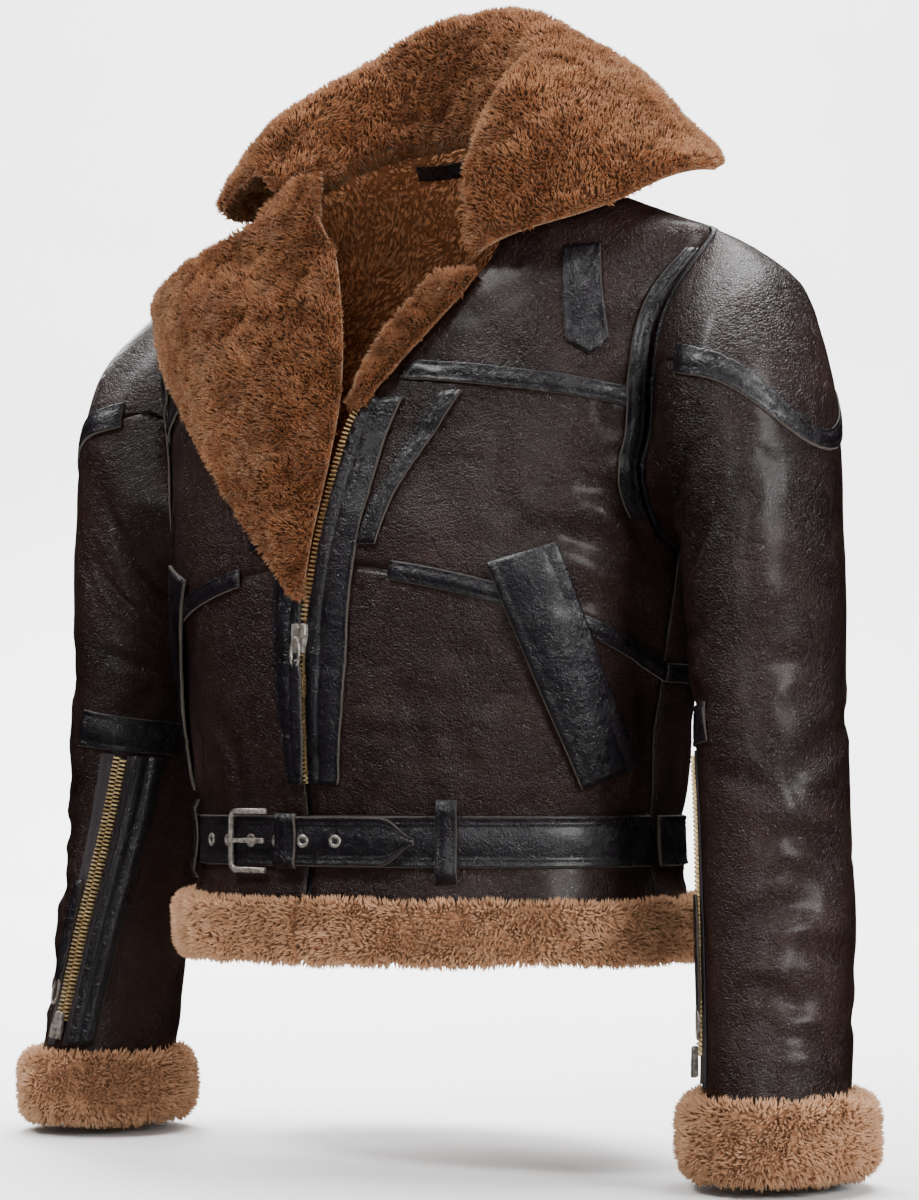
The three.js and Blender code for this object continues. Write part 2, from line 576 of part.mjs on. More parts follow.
// The main zip: closed below the slider, and its left half open above it.
const ZIP_END = -372;
const SLIDER = { low: -284, high: -264, half: 6, thick: 4.5 };
const PULL_GAP = 0.95;
function makeZip() {
  const chain = (name, low, high, from, to) => wall(name, BRASS, 1, 8,
    ...[2, -2].map((out) => (s, t) => {
      const z = mix(low, high, t);
      return torso(angleAtX(mix(from(z), to(z), s), z), z, out);
    }));
  chain('zip_closed', ZIP_END, SLIDER.low, () => -2.4, () => 2.4);
  const edge = (z) => smooth(LEFT_EDGE, 'z', 'x', z);
  chain('zip_open_left', SLIDER.high + 2, -118, (z) => edge(z) - 5.8, (z) => edge(z) - 0.9);
  const piece = (name, look, half, low, high, lift, thick) => onTorso(name, look, 2, 3, {
    from: (z) => angleAtX(-half, z), to: (z) => angleAtX(half, z), low, high, lift: () => lift, thick,
  });
  const above = LIFT + TAPE + LIFT;
  piece('zip_slider', NICKEL, SLIDER.half, SLIDER.low, SLIDER.high, above, SLIDER.thick);
  piece('zip_pull', STRIP, 4.5, -366, SLIDER.low + 11.5, above + SLIDER.thick + PULL_GAP, 2.5);
}

// The belt: a strap from the right side whose end lies over the left belt, through the buckle.
const BELT = { half: 17, thick: 3, lift: 1.2, over: 5, overlapStart: -0.14, overlapEnd: -0.03 };
const TIP_X = 78;
const strapLift = (u) => mix(
  BELT.lift, BELT.over, ease((u - BELT.overlapStart) / (BELT.overlapEnd - BELT.overlapStart)),
);
function makeBelt() {
  const band = (name, cols, from, to, lift, half = () => BELT.half) => onTorso(name, STRIP, cols, 2, {
    from, to, lift, thick: BELT.thick,
    low: (s) => BELT_HEIGHT - half(s), high: (s) => BELT_HEIGHT + half(s),
  });
  const tip = angleAtX(TIP_X, BELT_HEIGHT);
  const start = -SIDE + 0.03;
  const taper = (s) => BELT.half * (1 - 0.85 * ease((s - 0.94) / 0.06));
  band('belt_strap', 30, start, tip, (s) => strapLift(mix(start, tip, s)), taper);
  band('belt_left', 24, 0.0, SIDE - 0.03, () => BELT.lift);
  band('belt_back', 34, SIDE + 0.03, TURN - SIDE - 0.03, () => BELT.lift);
  const loop = (name, middle) => onTorso(name, STRIP, 1, 6, {
    from: middle - 0.04, to: middle + 0.04, low: -438, high: -382, thick: TAPE,
    lift: (s, t) => mix(LIFT, BELT.over, ease(Math.sin(Math.PI * t) * 3)),
  });
  loop('belt_loop_left', 0.555);
  loop('belt_loop_right', -0.815);
  loop('belt_loop_back_left', 2.35);
  loop('belt_loop_back_right', -2.35);
  onTorso('belt_keeper', STRIP, 3, 2, {
    from: -0.13, to: -0.04, low: BELT_HEIGHT - 19, high: BELT_HEIGHT + 19,
    lift: (s) => strapLift(mix(-0.13, -0.04, s)) + BELT.thick + LIFT, thick: 2.5,
  });
  makeBuckle();
}

// The buckle's frame, open where its far bar lies hidden in the belt's fold, and its prong.
const BUCKLE = { angle: -0.285, width: 42, height: 44, bar: 4, prong: 1.6, thick: 3, stand: 1.5 };
function makeBuckle() {
  const { width, height, bar, prong, thick } = BUCKLE;
  const left = -width / 2;
  const right = width / 2;
  const top = height / 2;
  const outline = new THREE.Shape([
    [left, -top], [right, -top], [right, bar - top], [left + bar, bar - top],
    [left + bar, -prong], [right, -prong], [right, prong], [left + bar, prong],
    [left + bar, top - bar], [right, top - bar], [right, top], [left, top],
  ].map(([x, y]) => new THREE.Vector2(x, y)));
  const geometry = new THREE.ExtrudeGeometry(outline, { depth: thick, bevelEnabled: false });
  const mesh = new THREE.Mesh(geometry, new THREE.MeshStandardMaterial(NICKEL));
  const foot = torso(BUCKLE.angle, BELT_HEIGHT);
  const normal = torso(BUCKLE.angle, BELT_HEIGHT, 1).sub(foot).setZ(0).normalize();
  const up = new THREE.Vector3(0, 0, 1);
  const across = up.clone().cross(normal);
  const place = new THREE.Matrix4().makeBasis(across, up, normal);
  mesh.quaternion.setFromRotationMatrix(place);
  mesh.position.copy(foot).addScaledVector(normal, BELT.lift + BELT.thick + BUCKLE.stand);
  mesh.name = 'buckle';
  jacket.add(mesh);
}

const HANGER_GAP = 0.5;

// The loop to hang the jacket by, inside the back neck, and the short strap below the collar.
function makeSmallStraps() {
  onTorso('hanger_loop', STRIP, 6, 1, {
    from: Math.PI - 0.4, to: Math.PI + 0.4, low: 76, high: 83, lift: () => -SKIN - HANGER_GAP - 3, thick: 3,
  });
  const edge = (z, low, high) => angleAtX(mix(low, high, (z + 90) / 80), z);
  onTorso('collar_strap', STRIP, 4, 8, {
    from: (z) => edge(z, 171, 158), to: (z) => edge(z, 195, 182),
    low: (s) => -78 - 10 * (1 - Math.abs(2 * s - 1)), high: -12, lift: sewnOn, thick: TAPE,
  });
}

makeFronts();
makeBack();
makeSleeves();
makeHem();
makeCollar();
makeLapel();
makeLeftFurEdge();
makeZip();
makeBelt();
makeSmallStraps();

export default jacket;
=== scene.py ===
"""Looks of the sheepskin flying jacket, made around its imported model."""
import json
import math

import bpy
import numpy as np
from mathutils import Matrix, Vector


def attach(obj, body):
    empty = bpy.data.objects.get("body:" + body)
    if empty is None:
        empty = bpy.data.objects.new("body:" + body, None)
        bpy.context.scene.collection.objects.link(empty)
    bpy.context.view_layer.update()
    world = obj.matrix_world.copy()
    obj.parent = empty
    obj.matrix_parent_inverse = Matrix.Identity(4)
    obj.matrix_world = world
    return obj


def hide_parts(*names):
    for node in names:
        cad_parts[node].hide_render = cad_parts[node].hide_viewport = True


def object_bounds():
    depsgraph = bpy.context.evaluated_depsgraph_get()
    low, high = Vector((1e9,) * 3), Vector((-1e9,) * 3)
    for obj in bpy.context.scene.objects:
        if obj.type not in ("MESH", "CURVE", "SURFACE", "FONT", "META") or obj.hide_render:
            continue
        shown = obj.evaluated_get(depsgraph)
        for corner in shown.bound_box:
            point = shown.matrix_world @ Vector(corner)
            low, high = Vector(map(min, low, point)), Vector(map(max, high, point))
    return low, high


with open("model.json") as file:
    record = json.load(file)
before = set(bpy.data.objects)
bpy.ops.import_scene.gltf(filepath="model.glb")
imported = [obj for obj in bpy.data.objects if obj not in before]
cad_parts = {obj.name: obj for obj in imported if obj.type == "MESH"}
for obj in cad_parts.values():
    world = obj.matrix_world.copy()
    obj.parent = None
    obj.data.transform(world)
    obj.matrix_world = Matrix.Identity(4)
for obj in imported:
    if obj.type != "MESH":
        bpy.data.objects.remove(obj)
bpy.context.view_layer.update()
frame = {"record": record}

PI = math.pi
TURN = 2 * PI
MM = 0.001
RANDOM = np.random.default_rng(7)

# Sizes in millimetres, the same as the model's. +Z up, the front faces -Y, +X is the wearer's left.
SIDES = (("left", 1), ("right", -1))
SKIN = 7
LEATHER_THICK = 1.6
TAPE = 2.2
LIFT = 0.8
FUR = 15
SHELL_END = -451
SIDE = PI / 2
SEAM_ANGLE = 0.003
SEAM = 0.15
NECK_SIDE = 60
NECK_BACK = 92
UNDERARM = -215
ARMHOLE_GAP = 0.9
BACK_YOKE = -112
BACK_MIDDLE = -296
TAPE_HALF = 6
BELT_HEIGHT = -410
ZIP_END = -372
SLIDER_LOW, SLIDER_HIGH = -284, -264
TOOTH_PITCH = 3.0

# Columns: height, half width, depth to the front and back, middle, squareness.
TORSO = np.array([
    (-470, 187, 148, 152, 0, 2.1), (-451, 186, 147, 151, 0, 2.1), (-409, 180, 141, 144, 0, 2.1),
    (-370, 183, 146, 149, 0, 2.15), (-300, 190, 150, 152, 0, 2.2), (-215, 204, 146, 150, 0, 2.25),
    (-150, 216, 134, 146, 0, 2.2), (-90, 227, 117, 138, -4, 2.15), (-45, 236, 98, 122, -8, 2.1),
    (-12, 241, 80, 104, -12, 2.0), (0, 238, 74, 98, -14, 2.0), (15, 204, 70, 90, -19, 2.0),
    (30, 168, 67, 82, -24, 2.0), (45, 128, 63, 76, -28, 2.0), (58, 96, 60, 72, -32, 2.0),
    (70, 82, 60, 66, -35, 2.0), (95, 76, 58, 58, -38, 2.0),
])
HALF, FRONT, BACK, MID, SQUARE = range(1, 6)

# Columns: height, and the armhole's edge towards the front and the back.
ARMHOLE = np.array([
    (-215, 0, 0), (-205, -26, 28), (-171, -47, 52), (-137, -46, 56), (-105, -48, 56),
    (-72, -47, 50), (-45, -41, 36), (-20, -28, 12), (0, -14, -14),
])

# Columns: height, and how far past the middle each front's edge lies.
LEFT_EDGE = np.array([
    (-470, 3), (-262, 3), (-235, 7), (-200, 12), (-150, 20), (-121, 29), (-84, 58), (-62, 77),
    (-40, 95), (-17, 108), (0, 112), (20, 108), (40, 100), (60, 88),
])
RIGHT_EDGE = np.array([
    (-470, 3), (-262, 3), (-235, 4), (-200, 6), (-129, 13), (-84, 26), (-52, 38), (-5, 60),
    (30, 78), (60, 86),
])

# Columns: place in the row, inner x and z, outer x and z, middle y, half depth.
SLEEVE = np.array([
    (0, 216, -211, 262, -8, 2, 78), (1, 220, -217, 286, -32, 1, 78), (2, 223, -226, 302, -66, -2, 75),
    (3, 225, -238, 312, -108, -4, 72), (4, 226, -252, 318, -155, -6, 70), (5, 227, -269, 321, -205, -8, 67),
    (6, 229, -291, 323, -255, -9, 65), (7, 232, -320, 325, -300, -10, 63), (8, 236, -360, 329, -350, -12, 60),
    (9, 239, -400, 332, -395, -15, 58), (10, 243, -440, 335, -438, -20, 57),
    (11, 247, -480, 339, -480, -26, 56),
    (12, 251, -524, 342, -524, -32, 55), (13, 255, -573, 345, -573, -40, 54),
])
IN_X, IN_Z, OUT_X, OUT_Z, MID_Y, DEPTH = range(1, 7)
RIGHT_SLEEVE_IN = 22

# Columns: angle, place along, half length, half width, depth.
FOLDS = np.array([
    (2.2, 0.17, 0.7, 0.055, 4), (1.9, 0.3, 0.6, 0.055, 3.5), (1.1, 0.5, 0.8, 0.055, 3),
    (2.6, 0.56, 0.9, 0.055, 4), (5.0, 0.6, 0.8, 0.055, 3.5), (0.6, 0.76, 0.9, 0.055, 3.5),
    (3.6, 0.8, 0.7, 0.055, 3), (0.9, 0.9, 0.9, 0.05, 3.5),
])


def mix(a, b, t):
    return a + (b - a) * t


def ease(t):
    c = np.clip(t, 0, 1)
    return c * c * (3 - 2 * c)


def level(height):
    """A function that gives the same value at every place."""
    return lambda place: height + 0 * place


def between(from_, to, low, high):
    """From shares s and t of a patch to its angle and height. Functions give its four bounds."""
    def at(s, t):
        z = mix(low(s), high(s), t)
        return mix(from_(z), to(z), s), z
    return at


def circle(count):
    return np.linspace(0, TURN, count, endpoint=False)


def lengths(points):
    """How far along a row each of its points lies."""
    return np.concatenate([[0], np.cumsum(np.linalg.norm(np.diff(points, axis=0), axis=1))])


def arch(s, start, long):
    """A rise and fall from 0 over 1 to 0."""
    return np.sin(PI * np.clip((s - start) / long, 0, 1))


def smooth(rows, column, at):
    """A smooth curve through one column of a table, by its first column."""
    x, y = rows[:, 0], rows[:, column]
    at = np.clip(at, x[0], x[-1])
    slope = np.empty_like(y, dtype=float)
    slope[1:-1] = (y[2:] - y[:-2]) / (x[2:] - x[:-2])
    slope[0] = (y[1] - y[0]) / (x[1] - x[0])
    slope[-1] = (y[-1] - y[-2]) / (x[-1] - x[-2])
    i = np.clip(np.searchsorted(x, at, side="right") - 1, 0, len(x) - 2)
    h = x[i + 1] - x[i]
    t = (at - x[i]) / h
    rise = y[i + 1] - y[i]
    return y[i] + rise * t * t * (3 - 2 * t) + h * t * (1 - t) * ((1 - t) * slope[i] - t * slope[i + 1])


def unit(v):
    return v / np.maximum(np.linalg.norm(v, axis=-1, keepdims=True), 1e-9)


def torso_ring(u, z):
    u, z = np.broadcast_arrays(np.asarray(u, float), np.asarray(z, float))
    power = 2 / smooth(TORSO, SQUARE, z)
    across, ahead = np.sin(u), np.cos(u)
    depth = np.where(ahead > 0, smooth(TORSO, FRONT, z), smooth(TORSO, BACK, z))
    x = smooth(TORSO, HALF, z) * np.sign(across) * np.abs(across) ** power
    y = smooth(TORSO, MID, z) - depth * np.sign(ahead) * np.abs(ahead) ** power
    return np.stack([x, y, z], -1)


def torso_normal(u, z):
    along_u = torso_ring(u + 0.002, z) - torso_ring(u - 0.002, z)
    along_z = torso_ring(u, z + 0.3) - torso_ring(u, z - 0.3)
    return unit(np.cross(along_u, along_z))


def torso(u, z, out=0.0):
    return torso_ring(u, z) + torso_normal(u, z) * np.asarray(out)[..., None]


def angle_at_x(x, z):
    share = np.minimum(np.abs(x) / smooth(TORSO, HALF, z), 1)
    return np.sign(x) * np.arcsin(share ** (smooth(TORSO, SQUARE, z) / 2))


def angle_at_depth(y, z):
    ahead = smooth(TORSO, MID, z) - y
    depth = np.where(ahead > 0, smooth(TORSO, FRONT, z), smooth(TORSO, BACK, z))
    share = np.minimum(np.abs(ahead) / depth, 1)
    return np.arccos(np.sign(ahead) * share ** (smooth(TORSO, SQUARE, z) / 2))


def front_end(z):
    cut = np.minimum(angle_at_depth(smooth(ARMHOLE, 1, z), z), SIDE - SEAM_ANGLE)
    return np.where((z > UNDERARM) & (z < 0), cut, SIDE - SEAM_ANGLE)


def back_end(z):
    cut = np.maximum(angle_at_depth(smooth(ARMHOLE, 2, z), z), SIDE + SEAM_ANGLE)
    return np.where((z > UNDERARM) & (z < 0), cut, SIDE + SEAM_ANGLE)


def edge_angle(side, z):
    return angle_at_x(smooth(LEFT_EDGE if side > 0 else RIGHT_EDGE, 1, z), z)


def front_span(side):
    """The angles of a front's edge and of its end at the side, as functions of height."""
    return (lambda z: side * edge_angle(side, z)), (lambda z: side * front_end(z))


BACK_SPAN = back_end, lambda z: TURN - back_end(z)


def neck_line(s):
    return mix(NECK_SIDE, NECK_BACK, np.abs(np.sin(PI * s)) ** 0.8)


def yoke_seam(s):
    return mix(-92, -118, s)


def middle_seam(s):
    return mix(-222, -296, 0.55 * s + 0.45 * s * s)


def armhole(angle):
    z = UNDERARM * (0.5 - 0.5 * np.cos(angle))
    return torso_ring(np.where(np.sin(angle) > 0, front_end(z), back_end(z)), z)


def sleeve_point(around, along):
    around, along = np.broadcast_arrays(np.asarray(around, float), np.asarray(along, float))
    at = along * (len(SLEEVE) - 1)
    share = 0.5 - 0.5 * np.cos(around)
    ring = np.stack([
        mix(smooth(SLEEVE, OUT_X, at), smooth(SLEEVE, IN_X, at), share),
        smooth(SLEEVE, MID_Y, at) - smooth(SLEEVE, DEPTH, at) * np.sin(around),
        mix(smooth(SLEEVE, OUT_Z, at), smooth(SLEEVE, IN_Z, at), share),
    ], -1)
    start = armhole(around)
    start[..., 0] += ARMHOLE_GAP
    return mix(start, ring, ease(at * 0.9)[..., None])


def trough(rows, around, along, wave=0.02):
    total = 0
    for angle, place, reach, width, depth in rows:
        turn = np.abs((around - angle + 3 * PI) % TURN - PI) / reach
        away = np.abs(along - place - wave * np.sin(2 * (around - angle))) / width
        total = total + depth * ease(1 - turn) * ease(1 - away)
    return total


def sleeve(side, around, along, out, folded=True):
    p = sleeve_point(around, along)
    middle = (sleeve_point(0, along) + sleeve_point(PI, along)) / 2
    sink = trough(FOLDS, around, along) * ease(np.asarray(along) * 8) if folded else 0
    p = p + unit(p - middle) * (np.asarray(out) - sink)[..., None]
    if side < 0:
        p[..., 0] = RIGHT_SLEEVE_IN * np.asarray(along) ** 1.5 - p[..., 0]
    return p


# The seam below the shoulder cap: least and added place along, how fast it turns, how round it is.
CAP_LEAST, CAP_DEEP, CAP_TURN, CAP_ROUND = 0.012, 0.286, 1.1, 0.74
CAP_TAPE_END = 1.36
CAP_RADIUS, CAP_LONG = 68, 600


def cap_seam(around):
    turn = np.abs((around + 3 * PI) % TURN - PI)
    return CAP_LEAST + CAP_DEEP * np.maximum(np.cos(np.minimum(turn * CAP_TURN, PI / 2)), 0) ** CAP_ROUND


def cap_tape(s, t):
    """Angle and place along for the tape over the cap's seam, 12 mm wide square to the seam."""
    angle = mix(-CAP_TAPE_END, CAP_TAPE_END, s)
    slope = (cap_seam(angle + 0.01) - cap_seam(angle - 0.01)) / 0.02 * CAP_LONG / CAP_RADIUS
    offset = TAPE_HALF * (2 * t - 1) / np.hypot(1, slope)
    return angle - offset * slope / CAP_RADIUS, cap_seam(angle) + offset / CAP_LONG


# Smooth random relief: a lattice of seeded values, blended between its corners.
CELLS = 64
LATTICE = RANDOM.random((CELLS, CELLS, CELLS)) * 2 - 1


def noise(p, size, shift=0):
    q = np.asarray(p) / size + 100 + shift * 7.3
    cell = np.floor(q).astype(int)
    f = q - cell
    f = f * f * (3 - 2 * f)
    total = 0
    for corner in np.ndindex(2, 2, 2):
        near = np.where(corner, f, 1 - f)
        i, j, k = np.moveaxis((cell + corner) % CELLS, -1, 0)
        total = total + near[..., 0] * near[..., 1] * near[..., 2] * LATTICE[i, j, k]
    return total


def add_object(name, data):
    piece = bpy.data.objects.new(name, data)
    bpy.context.scene.collection.objects.link(piece)
    return piece


def make_mesh(name, points, faces, materials, face_material=None, attributes=None, flat=False):
    """A mesh object from points in millimetres and an array of triangles or quads."""
    mesh = bpy.data.meshes.new(name)
    points = np.asarray(points, np.float32).reshape(-1, 3) * MM
    faces = np.asarray(faces, np.int32)
    sides = faces.shape[1]
    mesh.vertices.add(len(points))
    mesh.vertices.foreach_set("co", points.ravel())
    mesh.loops.add(faces.size)
    mesh.loops.foreach_set("vertex_index", faces.ravel())
    mesh.polygons.add(len(faces))
    mesh.polygons.foreach_set("loop_start", np.arange(len(faces), dtype=np.int32) * sides)
    for material in materials:
        mesh.materials.append(material)
    if face_material is not None:
        mesh.polygons.foreach_set("material_index", np.asarray(face_material, np.int32))
    mesh.update(calc_edges=True)
    mesh.validate()
    for key, values in (attributes or {}).items():
        layer = mesh.attributes.new(key, "FLOAT", "POINT")
        layer.data.foreach_set("value", np.asarray(values, np.float32))
    mesh.polygons.foreach_set("use_smooth", np.full(len(mesh.polygons), not flat))
    return add_object(name, mesh)


def outward(points, faces):
    """The faces, turned round if they enclose a negative volume."""
    p = points.reshape(-1, 3)
    a, b, c = p[faces[:, 0]], p[faces[:, 1]], p[faces[:, 2]]
    volume = (a * np.cross(b, c)).sum()
    if faces.shape[1] == 4:
        volume += (a * np.cross(c, p[faces[:, 3]])).sum()
    return faces if volume > 0 else faces[:, ::-1]


def shell_faces(cols, rows, wraps):
    """Quads of a closed wall, with a part for each: 0 the outer grid, 2 the inner one, 1 the rims."""
    across = cols if wraps else cols + 1

    def quads(*corners):
        return np.stack([face * across * (rows + 1) + j * across + i % across for face, i, j in corners], 1)
    i, j = (index.ravel() for index in np.meshgrid(np.arange(cols), np.arange(rows)))
    outer = quads((0, i, j), (0, i + 1, j), (0, i + 1, j + 1), (0, i, j + 1))
    inner = quads((1, i, j + 1), (1, i + 1, j + 1), (1, i + 1, j), (1, i, j))
    i = np.arange(cols)
    o, r = 0 * i, 0 * i + rows
    rims = [
        quads((1, i, o), (1, i + 1, o), (0, i + 1, o), (0, i, o)),
        quads((0, i, r), (0, i + 1, r), (1, i + 1, r), (1, i, r)),
    ]
    if not wraps:
        j = np.arange(rows)
        o, c = 0 * j, 0 * j + cols
        rims += [
            quads((0, o, j), (0, o, j + 1), (1, o, j + 1), (1, o, j)),
            quads((1, c, j), (1, c, j + 1), (0, c, j + 1), (0, c, j)),
        ]
    faces = np.concatenate([outer, inner] + rims)
    part = np.ones(len(faces), int)
    part[:len(outer)] = 0
    part[len(outer):2 * len(outer)] = 2
    return faces, part


def grid(cols, rows, wraps=False):
    s, t = np.meshgrid(np.arange(cols if wraps else cols + 1) / cols, np.arange(rows + 1) / rows)
    return s, t


def settle(piece, nodes=(), body="root"):
    """The piece rides on its body and hides the model's nodes that it stands for."""
    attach(piece, body)
    if nodes:
        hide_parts(*nodes)
    return piece


# The least share of its rectangle that a cut covers, and the narrowest sheet width, in metres.
LEAST_COVER = 0.31
NARROWEST = 0.0101


def cut_size(surface):
    """Width, length and area of the flat cut, measured on a grid of points."""
    wide = np.linalg.norm(np.diff(surface, axis=1), axis=-1).sum(1)
    long = np.linalg.norm(np.diff(surface, axis=0), axis=-1).sum(0)
    a, b = surface[1:, 1:] - surface[:-1, :-1], surface[1:, :-1] - surface[:-1, 1:]
    area = np.linalg.norm(np.cross(a, b), axis=-1).sum() / 2
    width, length = wide.max() * MM, long.max() * MM
    area *= MM * MM
    return (width, length), min(max(area, LEAST_COVER * width * length), width * length)


def wall(name, nodes, cells, wraps, outer, inner, looks, furry=False, body="root"):
    """A closed mesh between two grids of points. looks are its materials: face, rim and back."""
    points = np.concatenate([outer.reshape(-1, 3), inner.reshape(-1, 3)])
    faces, part = shell_faces(*cells, wraps)
    tips = {"tip": np.clip(0.3 + 0.25 * noise(points, 9, 3), 0, 1)} if furry else None
    piece = make_mesh(name, points, outward(points, faces), looks, np.minimum(part, len(looks) - 1), tips)
    return settle(piece, nodes, body)


def shell(name, nodes, cells, place, looks, thick, declared="stretched", wraps=False, body="root"):
    """A thin closed sheet, from a function place(s, t, out) that gives its points."""
    s, t = grid(*cells, wraps)
    outer = place(s, t, 0.0 * s)
    piece = wall(name, nodes, cells, wraps, outer, place(s, t, 0.0 * s - thick), looks, body=body)
    if declared:
        flat, area = cut_size(outer if not wraps else np.concatenate([outer, outer[:, :1]], 1))
        min(flat) > NARROWEST
    return piece


# Materials.
def material(name):
    mat = bpy.data.materials.new(name)
    mat.use_nodes = True
    tree = mat.node_tree
    return mat, tree, tree.nodes["Principled BSDF"]


def set_inputs(made, values):
    for key, value in values.items():
        made.inputs[key].default_value = value


def node(tree, kind, **values):
    made = tree.nodes.new(kind)
    for key, value in values.items():
        if key in made.inputs:
            made.inputs[key].default_value = value
        else:
            setattr(made, key, value)
    return made


def texture(tree, kind, scale, **values):
    place = tree.nodes.get("Place") or node(tree, "ShaderNodeTexCoord", name="Place")
    made = node(tree, kind, Scale=scale, **values)
    tree.links.new(place.outputs["Object"], made.inputs["Vector"])
    return made


def cloud(tree, scale, **values):
    return texture(tree, "ShaderNodeTexNoise", scale, **values).outputs["Fac"]


def ramp(tree, source, stops):
    """Colours, or single greys, by position."""
    made = node(tree, "ShaderNodeValToRGB")
    tree.links.new(source, made.inputs["Fac"])
    elements = made.color_ramp.elements
    while len(elements) < len(stops):
        elements.new(0.5)
    for element, (position, colour) in zip(elements, stops):
        element.position = position
        element.color = (*colour, 1) if isinstance(colour, tuple) else (colour, colour, colour, 1)
    return made.outputs["Color"]


def spread(tree, source, low, high):
    made = node(tree, "ShaderNodeMapRange")
    set_inputs(made, {"To Min": low, "To Max": high})
    tree.links.new(source, made.inputs["Value"])
    return made.outputs["Result"]


def bumps(tree, shader, layers):
    """Bump layers: (height output, strength, distance in metres)."""
    last = None
    for height, strength, distance in layers:
        made = node(tree, "ShaderNodeBump", Strength=strength, Distance=distance)
        tree.links.new(height, made.inputs["Height"])
        if last:
            tree.links.new(last, made.inputs["Normal"])
        last = made.outputs["Normal"]
    tree.links.new(last, shader.inputs["Normal"])


def blended(tree, factor, a, b, kind="MIX"):
    made = node(tree, "ShaderNodeMix", data_type="RGBA", blend_type=kind)
    for socket, value in ((0, factor), (6, a), (7, b)):
        if isinstance(value, bpy.types.NodeSocket):
            tree.links.new(value, made.inputs[socket])
        else:
            made.inputs[socket].default_value = value if socket == 0 else (*value, 1)
    return made.outputs[2]


def leather_material(name, dark, light, rough, grain, creased, shine, coat):
    """Grained hide: pebbles, pores, crumpled crease lines, rubbed patches and a broken gloss."""
    mat, tree, shader = material(name)
    shade = cloud(tree, 7, Detail=6, Roughness=0.6)
    patch = cloud(tree, 34, Detail=5, Roughness=0.65, Distortion=0.6)
    pebble = texture(tree, "ShaderNodeTexVoronoi", 440, feature="DISTANCE_TO_EDGE").outputs["Distance"]
    pore = cloud(tree, 1500, Detail=3)
    rumple = cloud(tree, 150, Detail=5, Roughness=0.62, Distortion=1.4)
    fold = cloud(tree, 42, Detail=2, Roughness=0.5, Distortion=0.5)
    base = ramp(tree, shade, [(0.34, dark), (0.68, light)])
    rubbed = tuple(min(1, c * 1.7) for c in light)
    worn = ramp(tree, patch, [(0.52, 0), (0.8, 0.6)])
    tree.links.new(blended(tree, worn, base, rubbed), shader.inputs["Base Color"])
    tree.links.new(spread(tree, patch, rough - 0.1, rough + 0.12), shader.inputs["Roughness"])
    set_inputs(shader, {"Specular IOR Level": shine, "Coat Weight": coat, "Coat Roughness": 0.25})
    edges = ramp(tree, pebble, [(0.0, 0), (0.24, 1)])
    valley = ramp(tree, fold, [(0.44, 1), (0.492, 0.1), (0.5, 0), (0.51, 0.15), (0.56, 1)])
    bumps(tree, shader, [
        (valley, creased, 0.0011), (rumple, 0.6, 0.0026), (edges, grain, 0.00045), (pore, 0.22, 0.0003),
    ])
    return mat


def fleece_material(name, root, middle, tip):
    """Sheared fleece: dark at the roots, pale at the tips, streaked and patched."""
    mat, tree, shader = material(name)
    height = node(tree, "ShaderNodeAttribute", attribute_name="tip")
    lock = cloud(tree, 120, Detail=4, Roughness=0.65, Distortion=0.8)
    fibre = cloud(tree, 900, Detail=2)
    colour = ramp(tree, height.outputs["Fac"], [(0.0, root), (0.55, middle), (1.0, tip)])
    for source, stops in (
        (cloud(tree, 14, Detail=5, Roughness=0.6), [(0.34, (0.78, 0.7, 0.63)), (0.68, (1.1, 1.05, 1.0))]),
        (lock, [(0.3, (0.78, 0.71, 0.66)), (0.66, (1.08, 1.05, 1.03))]),
    ):
        colour = blended(tree, 1.0, colour, ramp(tree, source, stops), "MULTIPLY")
    tree.links.new(colour, shader.inputs["Base Color"])
    set_inputs(shader, {
        "Roughness": 1.0, "Specular IOR Level": 0.2,
        "Sheen Weight": 0.35, "Sheen Roughness": 0.45, "Sheen Tint": (1.0, 0.72, 0.45, 1),
    })
    bumps(tree, shader, [(lock, 0.7, 0.004), (fibre, 0.6, 0.0012)])
    return mat


def metal_material(name, colour, dull, rough):
    mat, tree, shader = material(name)
    wear = cloud(tree, 260, Detail=5, Roughness=0.7)
    tree.links.new(ramp(tree, wear, [(0.38, dull), (0.62, colour)]), shader.inputs["Base Color"])
    tree.links.new(spread(tree, wear, rough + 0.2, rough), shader.inputs["Roughness"])
    set_inputs(shader, {"Metallic": 0.7})
    bumps(tree, shader, [(cloud(tree, 1400, Detail=2), 0.15, 0.0002)])
    return mat


def cloth_material(name, colour, light, scale, rough=0.85):
    """Twill tape or thread: a fine slanting weave."""
    mat, tree, shader = material(name)
    weave = texture(tree, "ShaderNodeTexWave", scale, Distortion=0.4, Detail=1, bands_direction="DIAGONAL")
    colours = ramp(tree, weave.outputs["Fac"], [(0.3, colour), (0.8, light)])
    tree.links.new(colours, shader.inputs["Base Color"])
    set_inputs(shader, {"Roughness": rough})
    bumps(tree, shader, [(weave.outputs["Fac"], 0.4, 0.0003)])
    return mat


LEATHER = leather_material("leather", (0.0058, 0.0021, 0.0017), (0.0175, 0.0072, 0.0058),
                           rough=0.32, grain=0.75, creased=0.3, shine=0.27, coat=0.1)
STRIP = leather_material("strip_leather", (0.0028, 0.002, 0.003), (0.0075, 0.0054, 0.0078),
                         rough=0.28, grain=0.32, creased=0.06, shine=0.38, coat=0.15)
RAW_EDGE = cloth_material("raw_edge", (0.028, 0.022, 0.017), (0.075, 0.058, 0.044), 900)
FLEECE = fleece_material("fleece", (0.06, 0.0165, 0.005), (0.165, 0.055, 0.018), (0.3, 0.132, 0.056))
TRIM = fleece_material("trim_fleece", (0.16, 0.074, 0.039), (0.46, 0.262, 0.153), (0.72, 0.49, 0.335))
# The lining's fleece is painted far paler than the collar's fleece: painted light that offsets the shade
# inside the jacket.
LINING = fleece_material("lining_fleece", (0.22, 0.086, 0.036), (0.74, 0.36, 0.17), (0.95, 0.6, 0.36))
